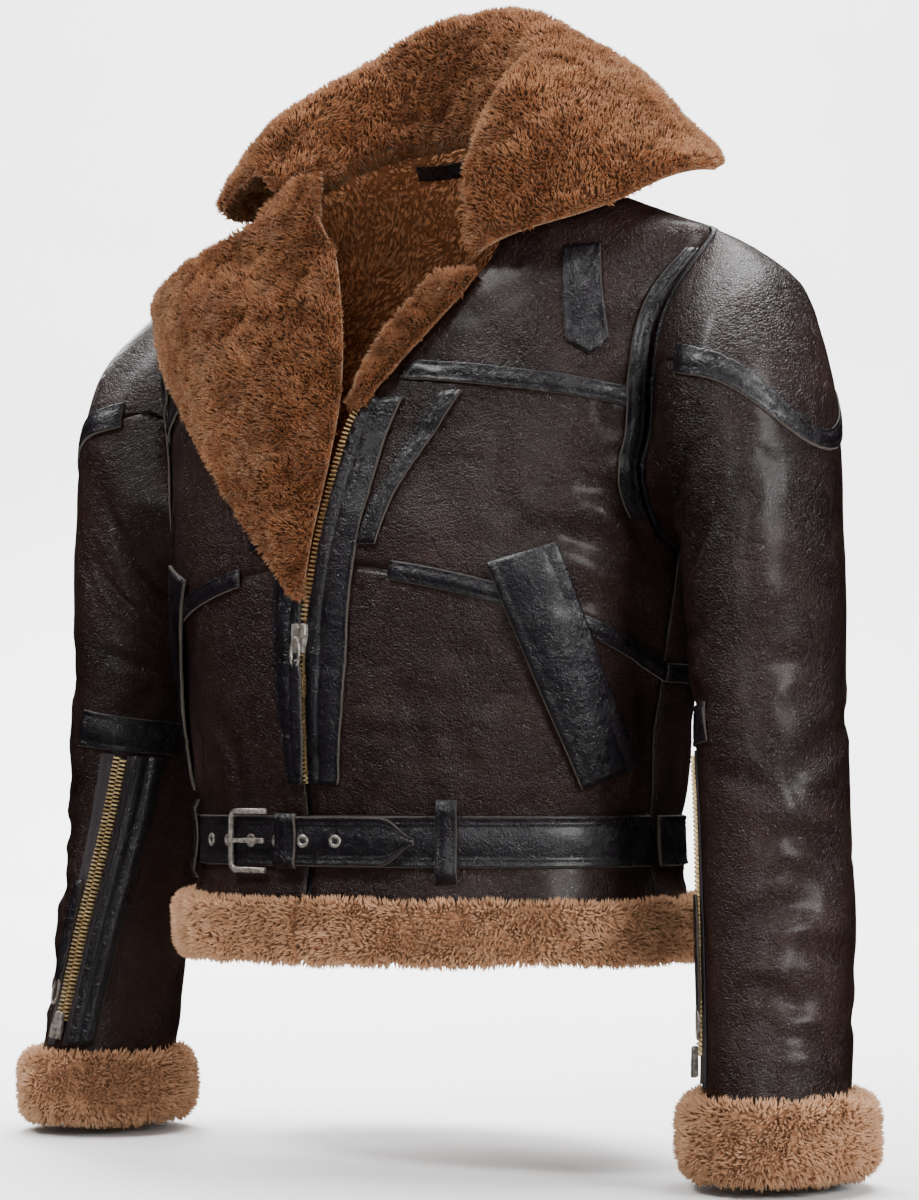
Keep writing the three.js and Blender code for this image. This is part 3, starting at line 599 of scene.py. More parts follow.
BRASS = metal_material("brass", (0.86, 0.64, 0.32), (0.42, 0.28, 0.12), 0.28)
NICKEL = metal_material("nickel", (0.46, 0.42, 0.37), (0.13, 0.11, 0.095), 0.3)
THREAD = cloth_material("thread", (0.003, 0.0025, 0.003), (0.016, 0.013, 0.015), 2600, 0.5)
ZIP_CLOTH = cloth_material("zip_cloth", (0.012, 0.008, 0.01), (0.035, 0.026, 0.03), 1500)
HIDE_LOOKS = [LEATHER, RAW_EDGE, LINING]
FUR_LOOKS = [FLEECE, FLEECE, LEATHER]


# Creases pressed into the body: angle and height at each end, half width, depth.
BODY_CREASES = np.array([
    (1.36, -214, 0.98, -172, 9, 3.2), (1.34, -238, 0.8, -208, 10, 2.8), (1.42, -262, 1.02, -252, 9, 2.4),
    (0.42, -140, 0.52, -205, 13, 1.6), (0.62, -168, 0.78, -202, 8, 1.3), (0.34, -386, 0.42, -322, 8, 2.4),
    (0.62, -387, 0.58, -340, 7, 1.9), (1.3, -388, 1.2, -322, 9, 2.6), (1.5, -386, 1.44, -300, 10, 3.0),
    (0.9, -388, 0.86, -384, 7, 1.6), (0.26, -300, 0.5, -318, 10, 1.3), (0.85, -70, 1.16, -64, 12, 1.6),
    (0.72, -28, 0.98, -86, 12, 1.7), (1.18, -30, 1.22, -92, 9, 1.7), (0.5, -60, 0.66, -96, 9, 1.2),
    (-1.34, -222, -0.94, -182, 9, 3.0), (-1.38, -254, -0.98, -238, 10, 2.4),
    (-0.36, -386, -0.44, -330, 7, 2.2),
    (-0.8, -388, -0.7, -334, 8, 2.4), (-1.4, -387, -1.33, -306, 10, 2.9), (-0.52, -250, -0.86, -300, 13, 1.7),
    (-1.1, -60, -0.9, -98, 11, 1.7), (2.02, -224, 2.52, -184, 12, 3.2), (1.84, -258, 2.42, -250, 11, 2.5),
    (4.24, -220, 3.72, -178, 12, 3.4), (4.38, -262, 3.84, -262, 11, 2.6), (2.6, -386, 2.68, -312, 9, 2.6),
    (3.14, -387, 3.08, -338, 8, 2.0), (3.72, -386, 3.62, -304, 10, 2.8), (2.16, -387, 2.1, -326, 9, 2.4),
    (4.3, -386, 4.4, -318, 9, 2.4), (2.84, -52, 3.46, -70, 14, 1.9), (2.5, -150, 2.9, -200, 15, 1.7),
    (3.9, -140, 3.4, -196, 14, 1.6), (2.1, -60, 2.4, -100, 12, 1.8), (4.12, -58, 3.86, -98, 12, 1.8),
])

# Creases across the sleeves: angle and place along at each end, half width, depth.
SLEEVE_CREASES = np.array([
    (2.35, 0.33, 1.45, 0.3, 8, 2.5), (2.55, 0.42, 1.75, 0.45, 7, 2.6), (2.4, 0.5, 1.62, 0.555, 7, 2.3),
    (0.35, 0.52, 1.1, 0.55, 8, 1.9), (-0.25, 0.6, 0.72, 0.645, 9, 2.5), (1.0, 0.66, 1.72, 0.64, 7, 2.0),
    (0.05, 0.735, 1.02, 0.71, 8, 2.7), (0.5, 0.79, 1.5, 0.822, 8, 2.7), (-0.3, 0.865, 0.62, 0.84, 8, 2.5),
    (0.72, 0.9, 1.6, 0.885, 7, 2.5), (0.15, 0.95, 1.05, 0.94, 6, 2.1), (3.6, 0.35, 4.4, 0.4, 9, 2.6),
    (4.0, 0.52, 4.95, 0.5, 9, 3.1), (3.5, 0.62, 4.3, 0.66, 8, 2.7), (4.6, 0.7, 5.5, 0.73, 9, 2.7),
    (3.8, 0.82, 4.7, 0.8, 8, 2.7), (4.9, 0.9, 5.8, 0.93, 8, 2.5), (3.1, 0.47, 2.75, 0.53, 8, 2.0),
    (5.3, 0.58, 6.05, 0.6, 8, 2.1), (0.9, 0.31, 1.5, 0.36, 12, 1.7), (5.0, 0.25, 4.3, 0.3, 11, 2.2),
    (2.9, 0.22, 2.2, 0.2, 9, 2.4), (3.3, 0.24, 3.9, 0.2, 9, 2.4), (0.5, 0.42, -0.3, 0.45, 11, 1.6),
])
BODY_RADIUS = 165
SLEEVE_RADIUS = 56
SLEEVE_LENGTH = 560


def creases(rows, angle, place, radius, length):
    """Depth of the creases at each point, in millimetres."""
    total = np.zeros(np.broadcast(angle, place).shape)
    for a1, p1, a2, p2, width, depth in rows:
        across = ((angle - a1 + PI) % TURN - PI) * radius
        along = (place - p1) * length
        dx, dz = (a2 - a1) * radius, (p2 - p1) * length
        share = np.clip((across * dx + along * dz) / (dx * dx + dz * dz), 0, 1)
        bend = 0.12 * np.hypot(dx, dz) * np.sin(PI * share)
        away = np.hypot(across - share * dx - bend * dz / np.hypot(dx, dz),
                        along - share * dz + bend * dx / np.hypot(dx, dz)) / width
        total += depth * np.exp(-away * away) * (0.35 + 0.65 * np.sin(PI * np.clip(share, 0.12, 0.88)))
        total -= 0.4 * depth * np.exp(-(away - 1.7) ** 2 * 2) * np.sin(PI * share)
    return total


def swells(p):
    """Soft unevenness of a worn hide."""
    return 1.5 * noise(p, 64) + 0.75 * noise(p, 27, 1) + 0.28 * noise(p, 12, 2)


def wrinkles(p):
    """Fine crumpled lines that come and go over the hide."""
    lines = np.clip(1 - np.abs(noise(p * (1, 1, 1.5), 30, 11)) * 4.5, 0, 1) ** 2
    return -1.5 * lines * ease(noise(p, 90, 12) * 1.8 + 0.5)


CREASE_DEPTH = 1.3


def body_relief(u, z):
    """How far the hide stands off the body's plain shape, kept low under the belt."""
    p = torso_ring(u, z)
    kept = ease((np.abs(z - BELT_HEIGHT) - 14) / 12)
    pressed = CREASE_DEPTH * creases(BODY_CREASES, u, z, BODY_RADIUS, 1)
    return (swells(p) + wrinkles(p) - pressed) * (0.2 + 0.8 * kept)


# The sleeve zips: places along where they start and stop, and each sleeve's angle at both.
ZIP_START, ZIP_STOP = 0.6, 0.985
ZIP_ANGLES = {1: (2.62, 2.5), -1: (2.15, 1.55)}


def zip_line(side, along):
    return mix(*ZIP_ANGLES[side], (along - ZIP_START) / (ZIP_STOP - ZIP_START))


def sleeve_relief(side, around, along):
    """The same for a sleeve, kept low round its zip. The right sleeve's creases lie elsewhere."""
    p = sleeve_point(around, along)
    turned = around if side > 0 else around - 0.22
    fixed = ease((0.75 - np.abs(around - zip_line(side, along))) / 0.25) * ease((along - 0.52) / 0.05)
    hide = p + 300 * (side < 0)
    pressed = CREASE_DEPTH * creases(SLEEVE_CREASES, turned, along, SLEEVE_RADIUS, SLEEVE_LENGTH)
    return (swells(hide) + 0.8 * wrinkles(hide) - pressed) * (1 - 0.8 * fixed) * ease(along * 9)


def creased_sleeve(side, around, along, out):
    return sleeve(side, around, along, sleeve_relief(side, around, along) + out)


def pucker(s, t, wide, tall, sides=(1, 1, 1, 1)):
    """How the hide turns in at its sewn edges, and ripples beside them. wide and tall in millimetres."""
    total = 0
    for use, away, run in zip(sides, (s * wide, (1 - s) * wide, t * tall, (1 - t) * tall),
                              (t * tall, t * tall, s * wide, s * wide)):
        if use:
            ripple = np.sin(run / 2.6 + 2 * np.sin(run / 17)) * np.sin(run / 29 + 1)
            total = total - 1.5 * np.exp(-away / 2.2) + 0.55 * ripple * np.exp(-(away - 8) ** 2 / 60)
    return total


PANEL_CELL = 4.5


def body_panel(name, node_name, bounds, sewn=(1, 1, 1, 1)):
    """A panel of the body between two angles and two heights, each a function."""
    from_, to, low, high = bounds
    share = np.linspace(0, 1, 9)
    middle = mix(low(share), high(share), 0.5)
    wide = np.mean(np.abs(to(middle) - from_(middle))) * BODY_RADIUS
    tall = np.mean(high(share) - low(share))
    spot = between(*bounds)

    def place(s, t, out):
        u, z = spot(s, t)
        return torso(u, z, body_relief(u, z) + pucker(s, t, wide, tall, sewn) + out)
    cells = int(wide / PANEL_CELL), int(tall / PANEL_CELL)
    shell(name, [node_name], cells, place, HIDE_LOOKS, LEATHER_THICK)


def make_body():
    yoke = lambda gap: (lambda s: yoke_seam(s) + gap)
    middle = lambda gap: (lambda s: middle_seam(s) + gap)
    for word, side in SIDES:
        for part, low, high, sewn in (
            ("yoke", yoke(SEAM), level(NECK_SIDE), (0, 1, 1, 0)),
            ("chest", middle(SEAM), yoke(-SEAM), (0, 1, 1, 1)),
            ("skirt", level(SHELL_END), middle(-SEAM), (0, 1, 0, 1)),
        ):
            body_panel(f"hide_{part}_{word}", f"front_{part}_{word}", (*front_span(side), low, high), sewn)
    for part, low, high, sewn in (
        ("yoke", level(BACK_YOKE + SEAM), neck_line, (1, 1, 1, 0)),
        ("middle", level(BACK_MIDDLE + SEAM), level(BACK_YOKE - SEAM), (1, 1, 1, 1)),
        ("skirt", level(SHELL_END), level(BACK_MIDDLE - SEAM), (1, 1, 0, 1)),
    ):
        body_panel(f"hide_back_{part}", f"back_{part}", (*BACK_SPAN, low, high), sewn)


def make_sleeve_hides():
    gap = 0.0012
    above, below = (lambda a: cap_seam(a) - gap), (lambda a: cap_seam(a) + gap)
    for word, side in SIDES:
        for part, node_name, low, high, rows, tall, sewn in (
            ("cap", "sleeve_cap", level(0), above, 24, 60, (0, 0, 1, 1)),
            ("sleeve", "sleeve", below, level(1), 98, 480, (0, 0, 1, 0)),
        ):
            def place(s, t, out, side=side, low=low, high=high, tall=tall, sewn=sewn):
                around = s * TURN
                along = mix(low(around), high(around), t)
                return creased_sleeve(side, around, along, pucker(0.5 + 0 * s, t, 900, tall, sewn) + out)
            shell(f"hide_{part}_{word}", [f"{node_name}_{word}"], (72, rows), place, HIDE_LOOKS,
                  LEATHER_THICK, wraps=True)


def make_piping():
    """A thin leather piping that closes the armhole seams."""
    around = circle(140)
    for word, side in SIDES:
        path = sleeve(side, around, 0 * around, -0.6 + 0 * around, False)
        rod(f"piping_{word}", path, unit(path - path.mean(0)), 2.0, 2.0, STRIP, closed=True)


make_body()
make_sleeve_hides()


# Fur: a low base slab, and a pile of closed tufts that leans in small clumps.
def surface_samples(place, inside, count, cells, keep=None):
    """Random points and normals, spread evenly over a surface place(a, b), on the side away from inside."""
    cols, rows = cells
    p = place(*grid(cols, rows))
    area = np.linalg.norm(np.cross(p[1:, 1:] - p[:-1, :-1], p[1:, :-1] - p[:-1, 1:]), axis=-1) / 2
    if keep is not None:
        area = area * keep((p[1:, 1:] + p[:-1, :-1]) / 2)
    cell = RANDOM.choice(area.size, count, p=(area / area.sum()).ravel())
    a = (cell % cols + RANDOM.random(count)) / cols
    b = (cell // cols + RANDOM.random(count)) / rows
    near = 0.002
    low_a, high_a = np.clip(a - near, 0, 1), np.clip(a + near, 0, 1)
    low_b, high_b = np.clip(b - near, 0, 1), np.clip(b + near, 0, 1)
    normal = unit(np.cross(place(high_a, b) - place(low_a, b), place(a, high_b) - place(a, low_b)))
    points = place(a, b)
    return points, normal * np.sign((normal * (points - inside(a, b))).sum())


def vector_noise(p, size, shift):
    return np.stack([noise(p, size, shift + k) for k in range(3)], -1)


def pile(name, look, points, normals, tall, wide, comb, spread_out=0.5):
    """One mesh of closed four-sided tufts. comb is a push on the tips."""
    count = len(points)
    lump = noise(points, 13, 4)
    lean = (spread_out * vector_noise(points, 8, 5) + 0.35 * vector_noise(points, 31, 9)
            + 0.16 * (RANDOM.random((count, 3)) - 0.5) + np.array(comb))
    height = tall * (0.82 + 0.3 * RANDOM.random(count) + 0.16 * lump + 0.1 * noise(points, 5, 12))
    tips = points + unit(normals + lean) * height[:, None]
    side = unit(np.cross(normals, lean + 0.01))
    other = np.cross(normals, side)
    turn = RANDOM.random(count) * TURN
    size = wide * (0.7 + 0.6 * RANDOM.random(count))
    verts = []
    for k in range(3):
        angle = (turn + k * TURN / 3)[:, None]
        verts.append(points + (side * np.cos(angle) + other * np.sin(angle)) * size[:, None] - normals * 1.2)
    verts = np.stack(verts + [tips], 1).reshape(-1, 3)
    at = np.arange(count)[:, None] * 4
    faces = np.concatenate([at + row for row in ([0, 2, 1], [0, 1, 3], [1, 2, 3], [2, 0, 3])])
    tip = np.empty((count, 4))
    tip[:, :3] = 0.12 + 0.2 * RANDOM.random((count, 1))
    tip[:, 3] = np.clip(0.72 + 0.22 * lump + 0.35 * (RANDOM.random(count) - 0.5), 0, 1)
    settle(make_mesh(name, verts, outward(verts, faces), [look], attributes={"tip": tip.ravel()}))


def grow(name, look, outer, inner, count, cells, tall, wide, comb, spread_out=0.5, keep=None):
    """A pile on the side of a surface that faces away from inner."""
    pile(name, look, *surface_samples(outer, inner, count, cells, keep), tall, wide, comb, spread_out)


def fur_base(name, nodes, cells, outer, inner, looks, wraps=False, flat=None):
    """The closed slab under a pile. outer and inner give points for (s, t)."""
    s, t = grid(*cells, wraps)
    under = inner(s, t)
    piece = wall(name, nodes, cells, wraps, outer(s, t), under, looks, True)
    size, area = cut_size(under) if flat is None else (flat, flat[0] * flat[1])


def crowded(a):
    """Places from 0 to 1, packed closer towards both ends."""
    return a - 0.85 * np.sin(TURN * a) / TURN


def rounded(away, reach):
    """A quarter circle's rise from an edge."""
    x = np.clip(away / reach, 0, 1)
    return np.sqrt(1 - (1 - x) ** 2)


def from_ends(s, scale):
    """How far a place lies from the nearer end of a stretch."""
    return np.minimum(s, 1 - s) * scale


# The collar's sections, from the left front end round the back to the right front end: neck seam,
# top of the stand, roll, fall and free edge.
COLLAR_LEFT = [
    [(96, -84, -14), (112, -92, -10), (140, -90, -2), (184, -72, 10), (222, -28, 34)],
    [(97, -79, 12), (110, -82, 34), (134, -72, 48), (180, -44, 48), (226, -4, 42)],
    [(91, -72, 42), (100, -66, 68), (114, -48, 90), (168, -12, 78), (216, 30, 50)],
    [(82, -40, 63.5), (93, -32, 96), (103, -14, 120), (152, 26, 104), (192, 62, 64)],
    [(77, -15, 73.3), (82, 4, 114), (89, 20, 144), (122, 58, 126), (148, 90, 80)],
    [(57, 5.5, 84.6), (58, 24, 128), (62, 44, 167), (82, 82, 144), (94, 110, 96)],
    [(28, 17, 90.8), (29, 32, 136), (31, 54, 181), (42, 92, 154), (46, 122, 108)],
    [(0, 20.8, 92.5), (0, 34, 138), (0, 58, 185), (0, 96, 156), (0, 126, 112)],
]
COLLAR_RIGHT = [
    [(-88, -54, 64), (-98, -54, 78), (-108, -42, 100), (-152, -8, 92), (-196, 26, 58)],
    [(-86, -68, 50), (-98, -72, 58), (-112, -64, 72), (-158, -40, 66), (-203, -18, 42)],
]


LEFT_ROWS = np.array(COLLAR_LEFT, float)
COLLAR_ROWS = np.concatenate([LEFT_ROWS, LEFT_ROWS[3:7][::-1] * (-1, 1, 1), np.array(COLLAR_RIGHT, float)])
CORNER_REACH, CORNER_TRIM = 0.12, 0.2
COLLAR_WIDE, COLLAR_TALL = 700, 200
PILE_TALL = 6.0


def with_ends(points):
    """The points, with one more straight on at each end."""
    return np.concatenate([2 * points[:1] - points[1:2], points, 2 * points[-1:] - points[-2:-1]])


def curve(a, b, c, d, f):
    """A Catmull-Rom curve from b to c, at share f."""
    return b + 0.5 * f * (c - a + f * (2 * a - 5 * b + 4 * c - d + f * (3 * (b - c) + d - a)))


def through(points, at):
    """A curve through the first axis of an array, at places from 0 to 1."""
    last = len(points) - 1
    x = np.clip(at, 0, 1) * last
    i = np.clip(np.floor(x).astype(int), 0, last - 1)
    ends = with_ends(points)
    return curve(*(ends[i + k] for k in range(4)), (x - i)[..., None])


def collar_leather(s, t):
    stations = with_ends(np.stack([through(COLLAR_ROWS[:, k], s) for k in range(5)]))
    near = np.clip(1 - np.minimum(s, 1 - s) / CORNER_REACH, 0, 1)
    x = np.clip(t, 0, 1) * 4 * (1 - CORNER_TRIM * (1 - np.sqrt(1 - near ** 2)))
    i = np.clip(np.floor(x).astype(int), 0, 3)
    picked = (np.take_along_axis(stations, (i + k)[None, ..., None], 0)[0] for k in range(4))
    return curve(*picked, (x - i)[..., None])


def collar_out(s, t, depth):
    near = 0.012
    a, b = np.clip(s, near, 1 - near), np.clip(t, near, 1 - near)
    across = collar_leather(a + near, b) - collar_leather(a - near, b)
    up = collar_leather(a, b + near) - collar_leather(a, b - near)
    return collar_leather(s, t) + unit(np.cross(up, across)) * depth[..., None]


def make_collar():
    def depth(s, t):
        away = np.minimum(from_ends(s, COLLAR_WIDE), (1 - t) * COLLAR_TALL)
        full = FUR * (0.72 + 0.28 * ease(away / 60)) - 4.2
        dent = 2.2 * noise(collar_leather(s, t), 38, 2) + 1.0 * noise(collar_leather(s, t), 15, 6)
        return 1.2 + (full + dent) * rounded(away + 0.6, 11)

    outer = lambda s, t: collar_out(crowded(s), crowded(t), depth(crowded(s), crowded(t)))
    inner = lambda s, t: collar_leather(crowded(s), crowded(t))
    rim = lambda up: (lambda s, t: mix(inner(s, up + 0 * s), outer(s, up + 0 * s), t[..., None]))
    cells = (130, 44)
    down = (0, 0, -0.12)
    fur_base("collar_hide", ["collar"], cells, outer, inner, FUR_LOOKS)
    grow("collar_pile", FLEECE, outer, inner, 38500, cells, PILE_TALL, 1.5, down)
    # The pile also hangs over the neck seam, and wraps round under the wearer's right end.
    grow("neck_pile", FLEECE, rim(0), rim(0.06), 2800, (130, 4), 8, 1.5, (0, -0.2, 0))
    under = lambda p: p[..., 0] < -128
    grow("collar_end_pile", FLEECE, inner, outer, 3200, cells, 4.5, 1.7, down, keep=under)
    x, z = RANDOM.uniform(-100, -36, 1500), RANDOM.uniform(26, 59, 1500)
    u = angle_at_x(x, z)
    pile("neck_corner_pile", FLEECE, torso(u, z, 0.5), torso_normal(u, z), 7, 1.5, (0.1, 0, 0.1))


# The right lapel: place up, fold x and z, free edge x and z.
LAPEL = np.array([
    (0, 0, -247, -5, -244), (0.12, 4, -215, -30, -218), (0.35, 12, -150, -90, -158),
    (0.55, 13, -100, -143, -105), (0.75, -2, -50, -192, -56), (1, -40, 18, -222, -10),
])
LAPEL_LIFT = TAPE + 2 * LIFT


def make_lapel():
    def place(s, t, out):
        s, t = crowded(s), crowded(t)
        fold_x, fold_z, free_x, free_z = (smooth(LAPEL, k, t) for k in range(1, 5))
        z = mix(fold_z, free_z, s) + t ** 4 * (14 * np.sin(PI * s) + 22 * (1 - s) ** 3)
        return torso(angle_at_x(mix(fold_x, free_x, s), z), z, out)

    def outer(s, t):
        b = crowded(t)
        away = np.minimum(from_ends(crowded(s), 9 + 190 * b ** 0.8), from_ends(b, 260))
        flat = place(s, t, 0 * s)
        full = FUR * (0.62 + 0.38 * ease(away / 45)) - 4 + 2.0 * noise(flat, 36, 7) + 0.9 * noise(flat, 14, 8)
        return place(s, t, LAPEL_LIFT + 1 + full * rounded(away + 0.5, 10))

    inner = lambda s, t: place(s, t, LAPEL_LIFT + 0 * s)
    cells = (46, 66)
    fur_base("lapel_hide", ["lapel_right"], cells, outer, inner, FUR_LOOKS)
    grow("lapel_pile", FLEECE, outer, inner, 22500, cells, PILE_TALL, 1.45, (0.05, 0, -0.15))


# Outlines of the fur round the cuffs and the hem: how far out, and how high.
CUFF_OUTLINE = np.array([
    (-6, -2), (-10, -20), (-6, -42), (4, -49), (14, -42), (18, -22), (14, 0), (3, 7), (1, -1),
], float)
HEM_OUTLINE = np.array([
    (-6, -1), (-9, -20), (-4, -38), (4, -42), (11, -36), (14, -18), (11, 1), (1.6, 3), (0.8, -1),
], float)


def fur_roll(name, nodes, outline, ring, cells, count, wraps, cut, lumps, wide):
    """Fur turned round an edge: a U-shaped slab on an outline. ring(around, out, up) places its points."""
    middle = outline[:8].mean(0)

    def place(s, t, shrink, sink):
        ray = through(outline, t) - middle
        reach = np.linalg.norm(ray, axis=-1, keepdims=True)
        at = middle + ray * np.maximum(shrink - sink / reach, 0.15)
        p = ring(s, at[..., 0], at[..., 1])
        if sink:
            core = ring(s, middle[0] + 0 * s, middle[1] + 0 * s)
            lump = noise(p, 34, 5) + 0.5 * noise(p, 13, 6)
            p = p + unit(p - core) * (lumps * lump * np.sin(PI * np.clip(t, 0, 1)) ** 0.3)[..., None]
        return p

    outer = lambda s, t: place(s, t, 1.0, PILE_TALL - 2)
    inner = lambda s, t: place(s, t, 0.35, 0)
    fur_base(name + "_hide", nodes, cells, outer, inner, [TRIM, TRIM, LEATHER], wraps, cut)
    grow(name + "_pile", TRIM, outer, inner, count, cells, PILE_TALL, wide, (0, 0, -0.1))


def make_rolls():
    for word, side in SIDES:
        def cuff(s, out, up, side=side):
            p = sleeve(side, s * TURN, 1 + 0 * s, out, False)
            p[..., 2] += up
            return p
        fur_roll(f"cuff_{word}", [f"cuff_fur_{word}"], CUFF_OUTLINE, cuff, (80, 26), 12000, True,
                 (0.085, 0.33), 1.6, 1.58)

    def hem(s, out, up):
        slit = 0.012
        p = torso(mix(slit, TURN - slit, s), SHELL_END + 0 * s, out)
        p[..., 2] = SHELL_END + up
        return p
    fur_roll("hem", ["hem_fur"], HEM_OUTLINE, hem, (230, 24), 30500, False, (0.08, 1.1), 1.8, 1.6)


def make_fur_edge():
    def place(s, t, out):
        z = mix(-116, -28, crowded(t))
        half = mix(5, 15, ease(1.6 * crowded(t)))
        middle = smooth(LEFT_EDGE, 1, z) - half - 1.5
        return torso(angle_at_x(middle + (2 * crowded(s) - 1) * half, z), z, out)

    def outer(s, t):
        away = np.minimum(from_ends(crowded(s), 26), from_ends(crowded(t), 90))
        return place(s, t, 0.5 + (4.5 + 1.2 * noise(place(s, t, 0 * s), 12, 3)) * rounded(away + 0.4, 8))

    inner = lambda s, t: place(s, t, -4 + 0 * s)
    cells = (14, 34)
    fur_base("front_fur_hide", ["fur_edge_left"], cells, outer, inner, [FLEECE, FLEECE, LINING])
    grow("front_fur_pile", FLEECE, outer, inner, 3600, cells, 6.5, 1.3, (0, 0, -0.1))


LINING_END = -466
LINING_THICK = 3.0


def make_lining(name, from_, to, high, cells, count=0, keep=None):
    """The fleece inside the fronts and back, with a pile where the open neck shows it."""
    spot = between(from_, to, level(LINING_END), high)

    def place(s, t, out):
        u, z = spot(s, t)
        p = torso_ring(u, z)
        hide = np.minimum(body_relief(u, z), 0) - LEATHER_THICK - 1.8
        deep = -SKIN - 1 + 1.2 * noise(p, 26, 3) + 0.6 * noise(p, 11, 4)
        return torso(u, z, np.where(out < -1, np.minimum(deep, hide - 1), hide))
    shell(name, (), cells, place, [LINING, LINING, LINING], LINING_THICK)
    if count:
        grow(name + "_pile", LINING, lambda s, t: place(s, t, -LINING_THICK + 0 * s),
             lambda s, t: torso(*spot(s, t), 0.0), count, cells, 6.0, 1.7, (0, 0, -0.15), 0.6, keep)


def make_linings():
    half, top = (30, 60), level(NECK_SIDE - 1)
    make_lining("lining_back", level(SIDE), level(TURN - SIDE), lambda s: neck_line(s) - 1, (64, 60), 11500,
                lambda p: (p[..., 2] > -210) & (np.abs(p[..., 0]) < 170))
    make_lining("lining_left", lambda z: edge_angle(1, z) + 0.012, level(SIDE), top, half, 4000,
                lambda p: p[..., 2] > -260)
    make_lining("lining_right", lambda z: -edge_angle(-1, z) - 0.012, level(-SIDE), top, half)


make_collar()
make_lapel()
make_rolls()
make_fur_edge()
make_linings()


# Leather strips with raw edges and sewn lines.
STITCH_PITCH, STITCH_LONG, STITCH_HALF = 4.0, 2.7, 0.42
STITCH_TRIM = 0.006
GROOVE_DEEP, GROOVE_WIDE, GROOVE_ROW = 0.75, 1.0, 1.2
SEWN = {}


def sew(group, at, lines, run, height):
    """Marks stitches along lines of a strip. at(s, t, out) gives points, and run says which way it goes."""
    place = lambda k, c, out: at(k, c, out) if run == "s" else at(c, k, out)
    for line in lines:
        k = np.linspace(STITCH_TRIM, 1 - STITCH_TRIM, 700)
        length = lengths(place(k, 0 * k + line, height(0 * k + line)))
        k = np.interp(np.arange(STITCH_PITCH / 2, length[-1], STITCH_PITCH), length, k)
        c = 0 * k + line
        ahead = unit(place(np.minimum(k + 0.002, 1), c, 0 * k) - place(np.maximum(k - 0.002, 0), c, 0 * k))
        normal = unit(place(k, c, 0 * k + 1) - place(k, c, 0 * k))
        SEWN.setdefault(group, []).append((place(k, c, height(c)), ahead, normal))


def make_stitches():
    corners = [(0, 2, 4), (2, 1, 4), (1, 3, 4), (3, 0, 4), (2, 0, 5), (1, 2, 5), (3, 1, 5), (0, 3, 5)]
    for group, rows in SEWN.items():
        middle, ahead, normal = (np.concatenate([row[k] for row in rows]) for k in range(3))
        long, aside = ahead * STITCH_LONG / 2, np.cross(ahead, normal) * STITCH_HALF
        verts = np.stack([
            middle - long, middle + long, middle - aside, middle + aside, middle + normal * 0.42,
            middle - normal * 0.3,
        ], 1).reshape(-1, 3)
        at = np.arange(len(middle))[:, None] * 6
        faces = np.concatenate([at + row for row in corners])
        settle(make_mesh(f"stitches_{group}", verts, outward(verts, faces), [THREAD]))


def ribbon(name, nodes, count, run, wide, at, lift=LIFT, thick=TAPE, lines=(0.2, 0.8), group="front",
           looks=None, dome=0.35, declared="stretched", swell=None):
    """A domed strip with chamfered raw edges, on a surface at(s, t, out). run says which share goes along."""
    lift = lift if callable(lift) else level(lift)

    def height(c):
        rise = thick * (1 - dome * np.abs(2 * c - 1) ** 3)
        for line in lines:
            rise = rise - GROOVE_DEEP * np.exp(-((c - line) * wide / GROOVE_WIDE) ** 2)
        return rise

    # Rows of points across the strip, with three on each sewn groove.
    grooves = {line + k * GROOVE_ROW / wide for line in lines for k in (-1, 0, 1)}
    stops = sorted({0.0, 0.03, 0.5, 0.97, 1.0} | grooves)
    even = np.linspace(0, 1, len(stops))
    cells = (count, len(stops) - 1) if run == "s" else (len(stops) - 1, count)
    raised = lambda s, t: lift(s if run == "s" else t) + (swell(s, t) if swell else 0)

    def place(s, t, out):
        along, across = (s, t) if run == "s" else (t, s)
        across = np.interp(across, even, stops)
        if np.mean(out) < -0.01:
            across = (across - 0.5) * (1 + 1.0 / wide) + 0.5
            up = lift(along)
        else:
            up = raised(s, t) + height(across)
        return at(along, across, up) if run == "s" else at(across, along, up)

    shell(name, nodes, cells, place, looks or [STRIP, RAW_EDGE, STRIP], thick, declared)
    sew(group, lambda s, t, out: at(s, t, out + raised(s, t)), lines, run, height)


def on_body(*bounds):
    """Points on the creased hide of a patch of the body."""
    spot = between(*bounds)

    def at(s, t, out):
        u, z = spot(s, t)
        return torso(u, z, body_relief(u, z) + out)
    return at


def plain_body(*bounds):
    """The same without the hide's relief, for stiff straps."""
    spot = between(*bounds)
    return lambda s, t, out: torso(*spot(s, t), out)


def on_sleeve(side, *bounds):
    """The same on a sleeve: angles for a place along, then places along for a share of the angle."""
    spot = between(*bounds)
    return lambda s, t, out: creased_sleeve(side, *spot(s, t), out)


def beside(line, half=TAPE_HALF):
    """The lower and upper edge of a strip along a line."""
    return (lambda s: line(s) - half), (lambda s: line(s) + half)


# Columns: height, and the outer edge of the left and right zip facings.
FACING = np.array([(-372, 25, 15), (-302, 33, 24), (-235, 37, 29), (-141, 52, 34), (-112, 62, 36)])
SLANT = np.array([(-222, 44), (-175, 60), (-106, 100)])
# The pocket welt's corners, as angle and height: the lower edge, then the upper one.
WELT = np.array([[(1.13, -375), (1.415, -359)], [(0.65, -227), (0.915, -213)]])
MIDDLE_START = 0.17


